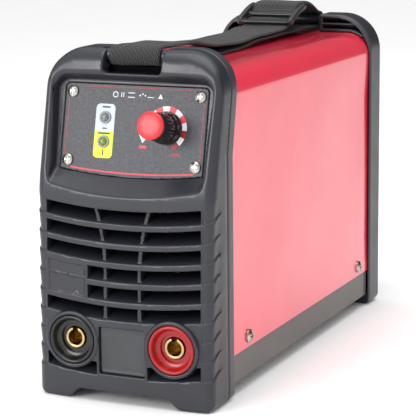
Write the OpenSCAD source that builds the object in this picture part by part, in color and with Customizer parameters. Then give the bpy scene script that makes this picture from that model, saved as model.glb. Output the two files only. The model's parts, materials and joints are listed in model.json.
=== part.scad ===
// Stick welding inverter: two moulded end frames, a folded sheet cover, a base tray,
// a leaning control panel, two bayonet output sockets, a carry strap and the works inside.
// Frame: +Y runs from the front face to the rear, +Z is up, and +X is the side of the
// positive socket. The origin is on the floor, under the middle of the overall box,
// which takes in the mains lead behind the machine.

/* [Body] */
// Length of the body, front face to rear rim
body_l = 304; // [295:1:320]
// Width over the end frames
body_w = 118; // [115:1:122]
// Height of the end frames above the floor
body_h = 212; // [208:1:218]
// Wall of the moulded end frames
wall = 3; // [2.4:0.1:3.5]
// Radius of the top corners, seen from the front
top_r = 26; // [20:1:30]

/* [Front frame] */
// Depth of the front frame at its sides
front_depth = 36.5; // [35:0.5:40]
// Radius of the nearly flat front face, in plan
bulge_r = 600; // [400:10:900]
// Angle at which the lower face leans back above the sockets
face_lean = 2; // [1:0.25:3]
// Radius of the upright front corners, in plan
corner_r = 6; // [5:0.5:9]
// Height of the shelf lip, where the upper part starts to lean back
lip_z = 130; // [126:1:134]
// Angle at which the upper part leans back
lean = 13; // [10:0.5:15]
// Setback of the leaning upper part at the lip
rim_set = 4.6; // [4.4:0.1:6]
// Half width of the panel window
window_w = 51; // [49:0.5:51]
// Depth of the louvre block
louvre_depth = 12; // [8:1:14]
// Number of louvre rows
louvre_rows = 6; // [3:1:6]
// Distance from one louvre row to the next
louvre_pitch = 11.7; // [11:0.1:11.8]
// Height of one louvre opening
louvre_gap = 8.2; // [6:0.2:8.6]

/* [Control panel] */
// Half width of the panel plate
panel_w = 47.5; // [46:0.5:48]
// Half height of the panel plate
panel_h = 26; // [24:0.5:26.5]
// Sideways distance of the dial from the panel's middle
dial_x = 21.5; // [18:0.5:24]
// Length of the knob
knob_l = 18; // [14:1:20]
// Radius of the knob at its skirt
knob_r = 9.5; // [8:0.5:11]

/* [Output sockets] */
// Distance between the two output sockets
socket_gap = 66.4; // [64:0.2:70]
// Height of the sockets above the floor
socket_z = 37.5; // [37:0.5:40]
// Radius of the socket's pin bore
bore_r = 4.6; // [4.5:0.05:5]
// Depth of the socket's pin bore
bore_l = 24; // [20:1:26]

/* [Cover and tray] */
// Sheet thickness of the cover
sheet = 1.2; // [0.8:0.1:1.5]
// Step from the frame's outline in to the cover's side
side_step = 2; // [1.8:0.1:2.5]
// Step from the frame's top down to the cover's top
top_step = 12.5; // [11:0.5:14]
// Height of the cover's lower edge
cover_z = 26.4; // [24:0.2:28]
// Height of the tray's underside
tray_z = 8.7; // [8:0.1:10]

/* [Carry strap] */
// Width of the webbing
strap_w = 35; // [30:1:37]
// Thickness of the webbing
strap_t = 1.8; // [1.4:0.1:2]
// Half width of the strap notch in both frames
notch_w = 19.2; // [19:0.2:22]

/* [Fan and switch] */
// Side of the square fan frame
fan_size = 92; // [90:1:92]
// Depth of the fan frame
fan_depth = 25; // [20:1:25]
// Number of fan blades
fan_blades = 7; // [5:1:9]
// Tilt of the rocker at rest, in degrees
rocker_tilt = 9; // [6:1:10]

/* [Hidden] */
$fn = 48;
clear = 0.15;
run_gap = 0.05;
half_w = body_w / 2;

// Mains lead behind the rear rim: straight run, bend, then the plug's radius
cord_r = 4.2;
cord_run = 22;
bend_r = 18;
plug_r = 18;
lead_room = cord_run + bend_r + plug_r;
front_y = -(body_l + lead_room) / 2;
rear_y = front_y + body_l;
mid_y = (front_y + rear_y) / 2;
seam_y = front_y + front_depth;
// Height above which the seam leans back
seam_break = 150;
face_front = front_y + 0.8;
crown_z = 33;
foot_cut = 7;
foot_in = 29.7;
foot_out = 37;

// Cover
cover_w = half_w - side_step;
cover_top = body_h - top_step;
cover_r = 16;
cover_y0 = seam_y - 4;
cover_y1 = rear_y - 18;

// Panel frame: local y is into the machine, local z runs up the leaning panel
panel_back = 10;
panel_up = 38;

// Strap bars
bar_r = 4;
bar_z = 207.5;
front_bar_y = seam_y - 5.5;
rear_bar_y = rear_y - 10;
loop_r = bar_r + strap_t + 0.1;
lower_z = cover_top + 0.3;

// Sockets
socket_x = socket_gap / 2;
collar_r = 17.6;
ring_r = 15;
face_y = front_y + 0.3;
brass_y = front_y + 5;
brass_r = 7;

// Blank plate between the sockets, and the vents under them
plate_w = 15;
plate_h = 28.4;
plate_z = 18.2;
plate_seat = 5;
vent_z = 19.7;

// Fan, switch, gland at the rear
rear_plate_y = rear_y - 6;
fan_z = 96;
fan_bore = fan_size / 2 - 2.5;
fan_hole = fan_size / 2 - 5;
fan_y1 = rear_plate_y - 0.5;
fan_y0 = fan_y1 - fan_depth;
switch_x = -27;
switch_z = 172;
gland_x = 28;
gland_z = 172;

// Works
pcb_z = 40;
pcb_t = 1.6;
pcb_top = pcb_z + pcb_t;

// ---------- helpers ----------

// Points along an arc
function arc(x, y, r, a0, a1, n) =
    [for (i = [0 : n]) [x + r * cos(a0 + (a1 - a0) * i / n), y + r * sin(a0 + (a1 - a0) * i / n)]];

// Extrude a front-view outline (x, z) from y0 to y1
module along_y(y0, y1) {
    translate([0, y1, 0]) rotate([90, 0, 0]) linear_extrude(y1 - y0) children();
}

// Extrude a side-view outline (y, z) from x0 to x1
module along_x(x0, x1) {
    translate([x0, 0, 0]) rotate([90, 0, 90]) linear_extrude(x1 - x0) children();
}

// A cylinder along Y, from y0 to y1
module rod_y(x, z, r, y0, y1) {
    translate([x, y1, z]) rotate([90, 0, 0]) cylinder(r = r, h = y1 - y0);
}

// Put children in the leaning frame of the front frame's upper part
module lean_back() {
    translate([0, front_y + rim_set, lip_z]) rotate([-lean, 0, 0]) children();
}

// Put children on the control panel's face, -y pointing out of it
module on_panel() {
    lean_back() translate([0, panel_back, panel_up]) children();
}

// Pan-head screw along -Y, its head seated at y = 0
module pan_screw(head_r, head_h, shank_r, shank_l) {
    difference() {
        intersection() {
            rod_y(0, 0, head_r, -head_h, 0);
            translate([0, 1.7 * head_r - head_h, 0]) sphere(r = 1.7 * head_r, $fn = 64);
        }
        for (a = [0, 90])
            rotate([0, a, 0]) translate([-head_r * 0.55, -head_h - 1, -0.5])
                cube([head_r * 1.1, head_h * 0.4 + 1, 1]);
    }
    rod_y(0, 0, shank_r, -0.01, shank_l);
}

// ---------- outlines ----------

// Front-view outline of both end frames, moved in by inset
module frame_outline(inset) {
    r = top_r - inset;
    polygon(concat(
        [[-foot_out, inset], [-foot_in, foot_cut + inset], [foot_in, foot_cut + inset], [foot_out, inset]],
        arc(half_w - 6, 6, 6 - inset, -90, 0, 4),
        arc(half_w - top_r, body_h - top_r, r, 0, 90, 10),
        arc(-half_w + top_r, body_h - top_r, r, 90, 180, 10),
        arc(-half_w + 6, 6, 6 - inset, 180, 270, 4)
    ));
}

// Front-view outline of the cover's outside, grown by grow
module cover_outline(grow) {
    w = cover_w + grow;
    polygon(concat(
        [[-w, cover_z - grow], [w, cover_z - grow]],
        arc(cover_w - cover_r, cover_top - cover_r, cover_r + grow, 0, 90, 10),
        arc(-cover_w + cover_r, cover_top - cover_r, cover_r + grow, 90, 180, 10)
    ));
}

// Plan outline of a front face: a shallow arc between two rounded corners. Behind the corners
// it is wider than the frame, so that the frame's own outline makes the flat sides.
module face_plan(y0, rf, rc, inset) {
    cx = half_w - rc;
    cy = y0 + rf - sqrt(pow(rf - rc, 2) - pow(cx, 2));
    t = acos(cx / (rf - rc));
    polygon(concat(
        arc(0, y0 + rf, rf - inset, 180 + t, 360 - t, 16),
        arc(cx, cy, rc - inset, -t, 0, 6),
        [[half_w + 2, cy + 1], [half_w + 2, seam_y + 60], [-half_w - 2, seam_y + 60], [-half_w - 2, cy + 1]],
        arc(-cx, cy, rc - inset, 180, 180 + t, 6)
    ));
}

// ---------- front frame ----------

// Solid envelope of the front frame, moved in by inset
module front_envelope(inset) {
    intersection() {
        along_y(front_y - 5, seam_y + 30) frame_outline(inset);
        union() {
            intersection() {
                translate([0, 0, -1]) linear_extrude(lip_z + 1) face_plan(face_front, bulge_r, corner_r, inset);
                translate([0, face_front, crown_z]) rotate([-face_lean, 0, 0])
                    translate([0, -face_front, -crown_z - 10]) linear_extrude(lip_z + 40)
                    face_plan(face_front, bulge_r, corner_r + 0.5, inset);
            }
            intersection() {
                lean_back() translate([0, -front_y - rim_set, -20]) linear_extrude(120)
                    face_plan(front_y + rim_set, bulge_r, corner_r - 0.5, inset);
                translate([-80, front_y - 5, lip_z - 0.01]) cube([160, 120, 100]);
            }
        }
    }
}

// Everything in front of the seam, which leans back above its break
module ahead_of_seam(back) {
    top_y = seam_y + back + (body_h - seam_break) * tan(lean - 2);
    along_x(-80, 80) polygon([
        [front_y - 10, -1], [seam_y + back, -1], [seam_y + back, seam_break],
        [top_y, body_h + 1], [front_y - 10, body_h + 1]
    ]);
}

// Window in front of the panel, with rounded top corners
module window_outline(w, h0, h1, r) {
    polygon(concat([[-w, h0], [w, h0]], arc(w - r, h1 - r, r, 0, 90, 6), arc(-w + r, h1 - r, r, 90, 180, 6)));
}

// Half width of the middle louvre column, waisted towards the bottom
function column_w(z) = 11.4 + 5.6 * pow(max(0, z - 80) / 37, 2);

// Top of louvre row i
function row_top(i) = 121.5 - i * louvre_pitch;

module louvre_openings() {
    for (i = [0 : louvre_rows - 1]) {
        z0 = row_top(i) - louvre_gap;
        c = column_w(z0 + louvre_gap / 2);
        left = (i == 3 || i == 4) ? 23 : window_w;
        translate([-left, front_y - 1, z0]) cube([left - c - 1.2, 40, louvre_gap]);
        translate([-c + 1.2, front_y - 1, z0]) cube([2 * c - 2.4, 40, louvre_gap]);
        translate([c + 1.2, front_y - 1, z0]) cube([window_w - c - 1.2, 40, louvre_gap]);
    }
}

// Body of the frame before the windows and openings are cut
module front_solid() {
    difference() {
        front_envelope(0);
        // hollow, with the lip and the brow left solid
        intersection() {
            front_envelope(wall);
            translate([-80, front_y, 0]) cube([160, 120, cover_top - 3]);
        }
        // vents beside and under the sockets
        for (s = [-1, 1]) translate([s > 0 ? plate_w + 2 : -window_w, front_y - 1, vent_z])
            cube([window_w - plate_w - 2, 40, louvre_gap]);
        // channel behind the brow, around the cover
        along_y(seam_y - 8, seam_y + 40) difference() {
            frame_outline(wall);
            cover_outline(2.4);
            translate([-half_w, 0]) square([body_w, cover_top - 30]);
            translate([-half_w, bar_z - 3.2]) square([body_w, 1.8]);
            translate([-notch_w - 3.2, 0]) square([2 * notch_w + 6.4, body_h + 1]);
        }
    }
    intersection() {
        front_envelope(0);
        union() {
            // louvre block
            translate([-window_w - 2, front_y - 1, 52]) cube([2 * window_w + 4, louvre_depth + 1, 72]);
            // block that holds the blank plate
            translate([-plate_w - 2, front_y, plate_z - 2])
                cube([2 * plate_w + 4, plate_seat + 3, plate_h + 4]);
            // tub that holds the panel
            on_panel() translate([-window_w - 3, -40, -panel_h - 4])
                cube([2 * window_w + 6, 46, panel_h + 37]);
            // shelf under the panel
            along_x(-window_w - 2, window_w + 2) polygon([
                [front_y, lip_z - 6], [front_y, lip_z], [front_y + 18, 141], [front_y + 23, 136]
            ]);
        }
    }
    // socket collars
    for (s = [-1, 1]) rod_y(s * socket_x, socket_z, collar_r, face_y, front_y + 20);
}

module front_frame() {
    color([0.13, 0.135, 0.145]) intersection() {
        ahead_of_seam(0);
        difference() {
            front_solid();
            along_y(cover_y0 - 1, seam_y + 40) cover_outline(clear);
            // window and the sloping shelf
            on_panel() along_y(-40, 0) window_outline(window_w, -panel_h, 29, 8);
            along_x(-window_w, window_w) polygon([
                [front_y + 17.6, 143.6], [front_y - 18, 154], [front_y - 18, lip_z - 0.6],
                [front_y + 4, lip_z], [front_y + 16.9, 139.5]
            ]);
            // pocket for the panel plate and the opening behind it
            on_panel() along_y(-0.01, 2.2) square([2 * panel_w + 0.4, 2 * panel_h + 0.4], center = true);
            on_panel() along_y(2, 12) square([78, 38], center = true);
            for (x = [-42.3, 42.3], z = [-20.7, 20.7]) on_panel() rod_y(x, z, 1.6, 1, 7);
            louvre_openings();
            // strap notch and the bar's sockets
            translate([-notch_w, front_y, 197.4]) cube([2 * notch_w, 80, 20]);
            strap_bar_hole(front_bar_y);
            // output socket holes and the blank plate's seat
            for (s = [-1, 1]) rod_y(s * socket_x, socket_z, ring_r + clear, front_y - 5, brass_y + 4);
            for (s = [-1, 1]) rod_y(s * socket_x, socket_z, 12.6, front_y, front_y + 30);
            translate([-plate_w - 0.2, front_y - 1, plate_z - 0.2])
                cube([2 * plate_w + 0.4, plate_seat + 1, plate_h + 0.4]);
        }
    }
}

// Hole for a strap bar, across the notch
module strap_bar_hole(y) {
    translate([-notch_w - 3, y, bar_z]) rotate([0, 90, 0]) cylinder(r = bar_r, h = 2 * notch_w + 6);
}

// ---------- rear frame ----------

module rear_frame() {
    color([0.12, 0.125, 0.135]) difference() {
        along_y(cover_y1 - 4, rear_y) frame_outline(0);
        // hollow in front of the back plate
        along_y(cover_y1 - 10, rear_plate_y) intersection() {
            frame_outline(wall);
            translate([-half_w, 10]) square([body_w, cover_top - 13]);
        }
        along_y(cover_y1 - 10, cover_y1 + 0.3) cover_outline(clear);
        // channel around the cover with its rib
        along_y(cover_y1 - 10, rear_plate_y - 2) difference() {
            frame_outline(wall);
            cover_outline(2.4);
            translate([-half_w, 0]) square([body_w, cover_top - 30]);
            translate([-half_w, bar_z - 3.2]) square([body_w, 1.8]);
            translate([-notch_w - 3.2, 0]) square([2 * notch_w + 6.4, body_h + 1]);
        }
        // shallow recess inside the rear rim
        along_y(rear_y - 3, rear_y + 1) frame_outline(4);
        // strap notch and the bar's sockets
        translate([-notch_w, cover_y1 - 10, 197.4]) cube([2 * notch_w, 80, 20]);
        strap_bar_hole(rear_bar_y);
        // fan, switch and gland openings
        rod_y(0, fan_z, fan_bore, rear_plate_y - 5, rear_y + 1);
        for (x = [-1, 1], z = [-1, 1]) rod_y(x * fan_hole, fan_z + z * fan_hole, 2.2, rear_plate_y - 5, rear_y);
        translate([switch_x - 10.7, rear_plate_y - 5, switch_z - 14.2]) cube([21.4, 20, 28.4]);
        rod_y(gland_x, gland_z, 8.1, rear_plate_y - 5, rear_y);
        // low vent slots
        for (i = [0 : 3]) translate([-36, rear_plate_y - 5, 22 + i * 7]) cube([72, 20, 3.5]);
    }
}

// ---------- cover, tray and their screws ----------

screw_spots = [seam_y + 25.5, rear_y - 41.5];
screw_z = cover_z + 7;

module top_cover() {
    color([0.88, 0.10, 0.17]) difference() {
        along_y(cover_y0, cover_y1) difference() {
            cover_outline(0);
            cover_outline(-sheet);
            translate([sheet - cover_w, cover_z - 1]) square([2 * (cover_w - sheet), sheet + 2]);
        }
        for (y = screw_spots) translate([-80, y, screw_z]) rotate([0, 90, 0]) cylinder(r = 2.2, h = 160);
    }
}

module base_tray() {
    w = cover_w - 0.6;
    in = cover_w - sheet - 0.2;
    length = cover_y1 - seam_y - 4.5;
    color([0.22, 0.21, 0.20]) difference() {
        union() {
            translate([-w, seam_y + 0.2, tray_z]) cube([2 * w, length, cover_z - tray_z - 0.2]);
            translate([-in, seam_y + 0.2, tray_z + 5]) cube([2 * in, length, 24]);
        }
        translate([-in + 2, seam_y - 1, tray_z + 2]) cube([2 * in - 4, body_l, 40]);
        for (y = screw_spots) translate([-80, y, screw_z]) rotate([0, 90, 0]) cylinder(r = 2.05, h = 160);
        for (i = [0 : 7]) translate([-30, mid_y - 60 + i * 14, tray_z - 1]) cube([60, 5, 5]);
    }
}

module cover_screws() {
    color([0.80, 0.80, 0.80]) for (y = screw_spots, s = [-1, 1])
        translate([s * (cover_w + 0.02), y, screw_z]) rotate([0, 0, s * 90]) pan_screw(4.2, 2.4, 1.95, 7);
}

// ---------- control panel ----------

led_x = -19.2;
led_up = 5.8;
led_down = -8.7;

module control_panel() {
    color([0.10, 0.10, 0.11]) on_panel() difference() {
        along_y(0, 2) difference() {
            window_outline(panel_w, -panel_h, panel_h, 3);
            for (x = [-42.3, 42.3], z = [-20.7, 20.7]) translate([x, z]) circle(r = 1.8);
            translate([dial_x, 1]) circle(r = 5);
            translate([led_x, led_up]) circle(r = 3.05);
            translate([led_x, led_down]) circle(r = 3.05);
        }
    }
}

module panel_screws() {
    color([0.75, 0.75, 0.72]) on_panel() for (x = [-42.3, 42.3], z = [-20.7, 20.7])
        translate([x, -0.02, z]) pan_screw(3.4, 2.2, 1.5, 6);
}

module led_bezels() {
    color([0.35, 0.36, 0.38]) on_panel() for (z = [led_up, led_down]) difference() {
        union() {
            rod_y(led_x, z, 3.7, -0.9, 0);
            rod_y(led_x, z, 3, -0.01, 5);
        }
        rod_y(led_x, z, 2.55, -2, 6);
    }
}

// Lamp with a domed lens standing out of its bezel
module led(z) {
    dome_z = 0.4;
    on_panel() translate([led_x, 0, z]) rotate([90, 0, 0]) rotate_extrude() polygon(concat(
        [[0, -6.5], [2.5, -6.5]],
        [for (a = [0 : 15 : 75]) [2.5 * cos(a), dome_z + 2.5 * sin(a)]],
        [[0, dome_z + 2.5]]
    ));
}

module power_led() { color([0.30, 0.31, 0.33]) led(led_up); }

module fault_led() { color([0.45, 0.55, 0.10]) led(led_down); }

module pot_body() {
    color([0.45, 0.46, 0.48]) on_panel() difference() {
        union() {
            rod_y(dial_x, 1, 11, 3, 13);
            rod_y(dial_x, 1, 4.7, -1.5, 3.01);
        }
        rod_y(dial_x, 1, 3 + run_gap, -3, 12);
    }
}

module pot_nut() {
    color([0.78, 0.78, 0.76]) on_panel() difference() {
        rotate([90, 0, 0]) translate([dial_x, 1, 0.05]) cylinder(r = 6.3, h = 1.4, $fn = 6);
        rod_y(dial_x, 1, 4.75, -3, 3);
    }
}

module pot_shaft() {
    color([0.72, 0.72, 0.72]) on_panel() rod_y(dial_x, 1, 3, -14, 11.8);
}

// Knob: fluted skirt with a bore for the shaft
module current_knob() {
    color([0.04, 0.04, 0.045]) on_panel() translate([dial_x, 0, 1]) difference() {
        translate([0, -2, 0]) rotate([90, 0, 0]) rotate_extrude($fn = 64) polygon([
            [3, 0], [knob_r, 0], [knob_r, 3], [knob_r - 0.7, 4.5],
            [knob_r - 1.2, knob_l - 1], [knob_r - 2, knob_l], [3, knob_l]
        ]);
        for (i = [0 : 17]) rotate([0, i * 20, 0]) rod_y(knob_r - 0.2, 0, 0.7, -knob_l - 3, -6.5);
    }
}

module knob_cap() {
    color([0.90, 0.10, 0.12]) on_panel() translate([dial_x, -2.02 - knob_l, 1]) rotate([90, 0, 0])
        rotate_extrude($fn = 64) polygon([
            [0, 0], [knob_r - 2, 0], [knob_r - 1.4, 0.5], [knob_r - 1.4, 2], [knob_r - 2.2, 2.8], [0, 3.2]
        ]);
}

// ---------- output sockets ----------

module socket_shell() {
    rotate([90, 0, 0]) rotate_extrude($fn = 64) polygon([
        [brass_r + 0.05, -brass_y - 1.5], [brass_r + 0.05, -brass_y - 20],
        [12.4, -brass_y - 20], [12.4, -brass_y - 3.9], [ring_r, -brass_y - 3.9],
        [ring_r, -face_y - 0.5], [ring_r - 0.6, -face_y + 0.3], [ring_r - 1.6, -face_y + 0.3],
        [ring_r - 2.6, -face_y - 0.7], [9.2, -brass_y + 0.5], [9.2, -brass_y - 1.5]
    ]);
}

module negative_socket() {
    color([0.05, 0.05, 0.055]) translate([-socket_x, 0, socket_z]) socket_shell();
}

module positive_socket() {
    color([0.85, 0.07, 0.07]) translate([socket_x, 0, socket_z]) socket_shell();
}

// Brass contact: pin bore with the bayonet key slot at the top
module contact() {
    difference() {
        union() {
            rod_y(0, 0, brass_r, brass_y, brass_y + 34);
            rod_y(0, 0, 4, brass_y + 33, brass_y + 44);
        }
        rod_y(0, 0, bore_r, brass_y - 1, brass_y + bore_l);
        translate([-1.6, brass_y - 1, 0]) cube([3.2, 12, bore_r + 1.5]);
    }
}

module negative_contact() { color([0.78, 0.62, 0.28]) translate([-socket_x, 0, socket_z]) contact(); }

module positive_contact() { color([0.78, 0.62, 0.28]) translate([socket_x, 0, socket_z]) contact(); }

module socket_nuts() {
    color([0.70, 0.68, 0.60]) for (s = [-1, 1]) translate([s * socket_x, 0, socket_z]) difference() {
        translate([0, brass_y + 26.2, 0]) rotate([90, 0, 0]) cylinder(r = 12, h = 6, $fn = 6);
        rod_y(0, 0, brass_r + 0.05, brass_y, brass_y + 40);
    }
}

module output_busbars() {
    color([0.78, 0.45, 0.25]) for (s = [-1, 1]) translate([s * socket_x, 0, 0]) difference() {
        union() {
            translate([-7, brass_y + 34.2, socket_z - 8]) cube([14, 2, 30]);
            translate([-7, brass_y + 34.2, socket_z + 20]) cube([14, 12, 2]);
        }
        rod_y(0, socket_z, 4.1, brass_y + 30, brass_y + 40);
    }
}

module blank_plate() {
    color([0.15, 0.155, 0.16]) translate([-plate_w, front_y + plate_seat - 1.6, plate_z])
        cube([2 * plate_w, 1.5, plate_h]);
}

// ---------- carry strap ----------

module strap_bar(y) {
    translate([-notch_w - 2.8, y, bar_z]) rotate([0, 90, 0])
        cylinder(r = bar_r - 0.02, h = 2 * notch_w + 5.6);
}

module front_strap_bar() { color([0.10, 0.10, 0.11]) strap_bar(front_bar_y); }

module rear_strap_bar() { color([0.10, 0.10, 0.11]) strap_bar(rear_bar_y); }

// Webbing around a bar, leaving on the side given by s
module bar_loop(y, s) {
    x0 = -strap_w / 2;
    translate([x0, y, bar_z]) rotate([0, 90, 0]) difference() {
        cylinder(r = loop_r, h = strap_w);
        translate([0, 0, -1]) cylinder(r = bar_r + 0.1, h = strap_w + 2);
        translate([-20, s > 0 ? 0.01 : -20.01, -1]) cube([40, 20, strap_w + 2]);
    }
    translate([x0, s > 0 ? y : y - 10, bar_z + bar_r + 0.1]) cube([strap_w, 10, strap_t]);
    translate([x0, s > 0 ? y : y - 10, bar_z - loop_r]) cube([strap_w, 10, strap_t]);
}

module strap_front_loop() { color([0.07, 0.07, 0.075]) bar_loop(front_bar_y, 1); }

module strap_rear_loop() { color([0.07, 0.07, 0.075]) bar_loop(rear_bar_y, -1); }

// Webbing that follows a list of (y, z) points on its underside
module webbing(points) {
    n = len(points);
    above = [for (i = [n - 1 : -1 : 0]) points[i] + [0, strap_t]];
    along_x(-strap_w / 2, strap_w / 2) polygon(concat(points, above));
}

// Smooth step between two heights
function ease(a, b, t) = a + (b - a) * (1 - cos(180 * t)) / 2;

strap_y0 = front_bar_y + 10.6;
strap_y1 = rear_bar_y - 10.6;
strap_low = cover_top + 5;
buckle_y = mid_y + 57;
buckle_l = 44;
buckle_z = cover_top + 14;

module strap_upper() {
    top = bar_z + bar_r + 0.1;
    n = 8;
    color([0.07, 0.07, 0.075]) webbing(concat(
        [for (i = [0 : n]) [strap_y0 + 80 * i / n, ease(top, strap_low, i / n)]],
        [for (i = [1 : n]) [strap_y0 + 80 + (buckle_y - strap_y0 - 80) * i / n, ease(strap_low, buckle_z, i / n)]],
        [for (i = [1 : n]) [buckle_y + (strap_y1 - buckle_y) * i / n, ease(buckle_z, top, i / n)]]
    ));
}

module strap_lower() {
    low = bar_z - loop_r;
    n = 6;
    color([0.07, 0.07, 0.075]) webbing(concat(
        [for (i = [0 : n]) [strap_y0 + 30 * i / n, ease(low, lower_z, i / n)]],
        [for (i = [0 : n]) [strap_y1 - 50 + 50 * i / n, ease(lower_z, low, i / n)]]
    ));
}

// Ladder-lock buckle: a flat frame with three cross bars
module strap_buckle() {
    w = strap_w / 2 + 4;
    color([0.06, 0.06, 0.065]) translate([0, buckle_y, buckle_z + strap_t + 0.3]) difference() {
        translate([-w, 0, 0]) cube([2 * w, buckle_l, 4]);
        for (y = [5, 18, 31]) translate([-w + 4, y, -1]) cube([2 * w - 8, 8, 6]);
    }
}

// ---------- fan, switch, mains lead ----------

module fan_frame() {
    h = fan_size / 2;
    color([0.06, 0.06, 0.06]) {
        difference() {
            translate([-h, fan_y0, fan_z - h]) cube([fan_size, fan_depth, fan_size]);
            rod_y(0, fan_z, fan_bore, fan_y0 - 1, fan_y1 + 1);
            for (x = [-1, 1], z = [-1, 1]) rod_y(x * fan_hole, fan_z + z * fan_hole, 2.15, fan_y0 - 1, fan_y1 + 1);
        }
        // motor mount on three arms, with the rotor's bearing pin
        rod_y(0, fan_z, 17, fan_y0, fan_y0 + 3);
        for (a = [30, 150, 270]) translate([0, 0, fan_z]) rotate([0, a, 0])
            translate([10, fan_y0, -2]) cube([fan_bore - 9, 3, 4]);
        rod_y(0, fan_z, 2, fan_y0, fan_y1 - 4);
    }
}

module fan_rotor() {
    tip = fan_bore - 1.2;
    color([0.09, 0.09, 0.09]) difference() {
        union() {
            rod_y(0, fan_z, 17, fan_y0 + 4, fan_y1 - 2);
            intersection() {
                rod_y(0, fan_z, tip, fan_y0 + 4, fan_y1 - 2);
                for (i = [0 : fan_blades - 1]) translate([0, (fan_y0 + fan_y1) / 2 + 1, fan_z])
                    rotate([0, i * 360 / fan_blades, 0]) rotate([38, 0, 0])
                        translate([14, -14, -0.9]) cube([tip, 28, 1.8]);
            }
        }
        rod_y(0, fan_z, 2 + run_gap, fan_y0, fan_y1 - 3.5);
    }
}

module fan_screws() {
    color([0.70, 0.70, 0.70]) for (x = [-1, 1], z = [-1, 1])
        translate([x * fan_hole, rear_plate_y + 3.02, fan_z + z * fan_hole])
        rotate([0, 0, 180]) pan_screw(3.6, 2.2, 2, fan_depth + 2);
}

// Wire finger guard: rings and four spokes
module fan_guard() {
    y = rear_y - 1.6;
    spoke_end = fan_hole * sqrt(2) - 4.6;
    color([0.25, 0.25, 0.26]) {
        for (r = [10, 20, 30, 40]) translate([0, y, fan_z]) rotate([90, 0, 0]) rotate_extrude($fn = 64)
            translate([r, 0]) circle(r = 0.8, $fn = 16);
        for (a = [45, 135, 225, 315]) translate([0, y, fan_z]) rotate([0, a, 0]) {
            translate([8, 0, 0]) rotate([0, 90, 0]) cylinder(r = 0.9, h = spoke_end - 8);
            translate([spoke_end + 4.6, 0, 0]) rotate([90, 0, 0]) rotate_extrude($fn = 32)
                translate([4.6, 0]) circle(r = 0.8, $fn = 16);
        }
    }
}

module switch_housing() {
    color([0.05, 0.05, 0.05]) translate([switch_x, rear_y - 3, switch_z]) difference() {
        union() {
            translate([-12.5, 0.02, -16]) cube([25, 1.8, 32]);
            translate([-10.5, -18, -14]) cube([21, 18.1, 28]);
        }
        translate([-8.8, -10, -12.2]) cube([17.6, 20, 24.4]);
        translate([-10, -2, 0]) rotate([0, 90, 0]) cylinder(r = 1.5, h = 20);
    }
}

// Rocker: a wedge with two faces, tilted to its off position
module switch_rocker() {
    color([0.65, 0.05, 0.05]) translate([switch_x, rear_y - 5, switch_z]) rotate([rocker_tilt, 0, 0]) {
        along_x(-8.3, 8.3)
            polygon([[-3, -5], [-3, 5], [1.5, 11.4], [4.6, 11.2], [3, 0], [4.6, -11.2], [1.5, -11.4]]);
        translate([-9.8, 0, 0]) rotate([0, 90, 0]) cylinder(r = 1.5 - run_gap, h = 19.6);
    }
}

module cable_gland() {
    color([0.07, 0.07, 0.07]) difference() {
        union() {
            rod_y(gland_x, gland_z, 8, rear_y - 16, rear_y - 2.9);
            translate([gland_x, rear_y + 3.1, gland_z]) rotate([90, 0, 0]) cylinder(r = 11.5, h = 6, $fn = 6);
            translate([gland_x, rear_y + 3, gland_z]) rotate([-90, 0, 0]) cylinder(r1 = 9, r2 = 6.5, h = 10);
        }
        rod_y(gland_x, gland_z, cord_r + 0.1, rear_y - 20, rear_y + 20);
    }
}

module gland_nut() {
    color([0.08, 0.08, 0.08]) difference() {
        translate([gland_x, rear_plate_y - 0.1, gland_z]) rotate([90, 0, 0])
            cylinder(r = 11.5, h = 4, $fn = 6);
        rod_y(gland_x, gland_z, 8.05, rear_y - 20, rear_y);
    }
}

cord_out = rear_y + cord_run;
cord_y = cord_out + bend_r;
floor_r = 24;
plug_x = -4;

// Mains lead: out of the gland, down behind the machine, then along the floor to the plug
module mains_cable() {
    color([0.06, 0.06, 0.065]) {
        rod_y(gland_x, gland_z, cord_r, rear_y - 22, cord_out);
        translate([gland_x, cord_out, gland_z - bend_r]) rotate([90, 0, 90]) rotate_extrude(angle = 90)
            translate([bend_r, 0]) circle(r = cord_r, $fn = 24);
        translate([gland_x, cord_y, cord_r + floor_r])
            cylinder(r = cord_r, h = gland_z - bend_r - cord_r - floor_r);
        translate([gland_x - floor_r, cord_y, cord_r + floor_r]) rotate([90, 90, 0])
            rotate_extrude(angle = 90) translate([floor_r, 0]) circle(r = cord_r, $fn = 24);
        translate([plug_x, cord_y, cord_r]) rotate([0, 90, 0])
            cylinder(r = cord_r, h = gland_x - floor_r - plug_x);
    }
}

// Plug: a round moulded body lying on the floor
plug_l = 34;

module mains_plug() {
    color([0.08, 0.08, 0.085]) translate([plug_x - 0.05, cord_y, plug_r]) difference() {
        union() {
            translate([-plug_l, 0, 0]) rotate([0, 90, 0]) cylinder(r = plug_r, h = 18);
            translate([-plug_l + 18, 0, 0]) rotate([0, 90, 0]) cylinder(r1 = plug_r, r2 = 10, h = 16);
            translate([-20, 0, cord_r - plug_r]) rotate([0, 90, 0]) cylinder(r = cord_r, h = 20);
        }
        for (z = [-9.5, 9.5]) translate([-plug_l - 1, 0, z]) rotate([0, 90, 0]) cylinder(r = 2.42, h = 12);
    }
}

module plug_pins() {
    color([0.75, 0.75, 0.72]) for (z = [-9.5, 9.5]) translate([plug_x - plug_l - 19, cord_y, plug_r + z])
        rotate([0, 90, 0]) cylinder(r = 2.4, h = 29);
}

// ---------- works ----------

standoff_spots = [for (x = [-44, 44], y = [mid_y - 78, mid_y + 104]) [x, y]];

module main_pcb() {
    color([0.05, 0.30, 0.14]) difference() {
        translate([-49, mid_y - 90, pcb_z]) cube([98, 202, pcb_t]);
        for (p = standoff_spots) translate([p[0], p[1], pcb_z - 1]) cylinder(r = 1.6, h = 4);
    }
}

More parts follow.
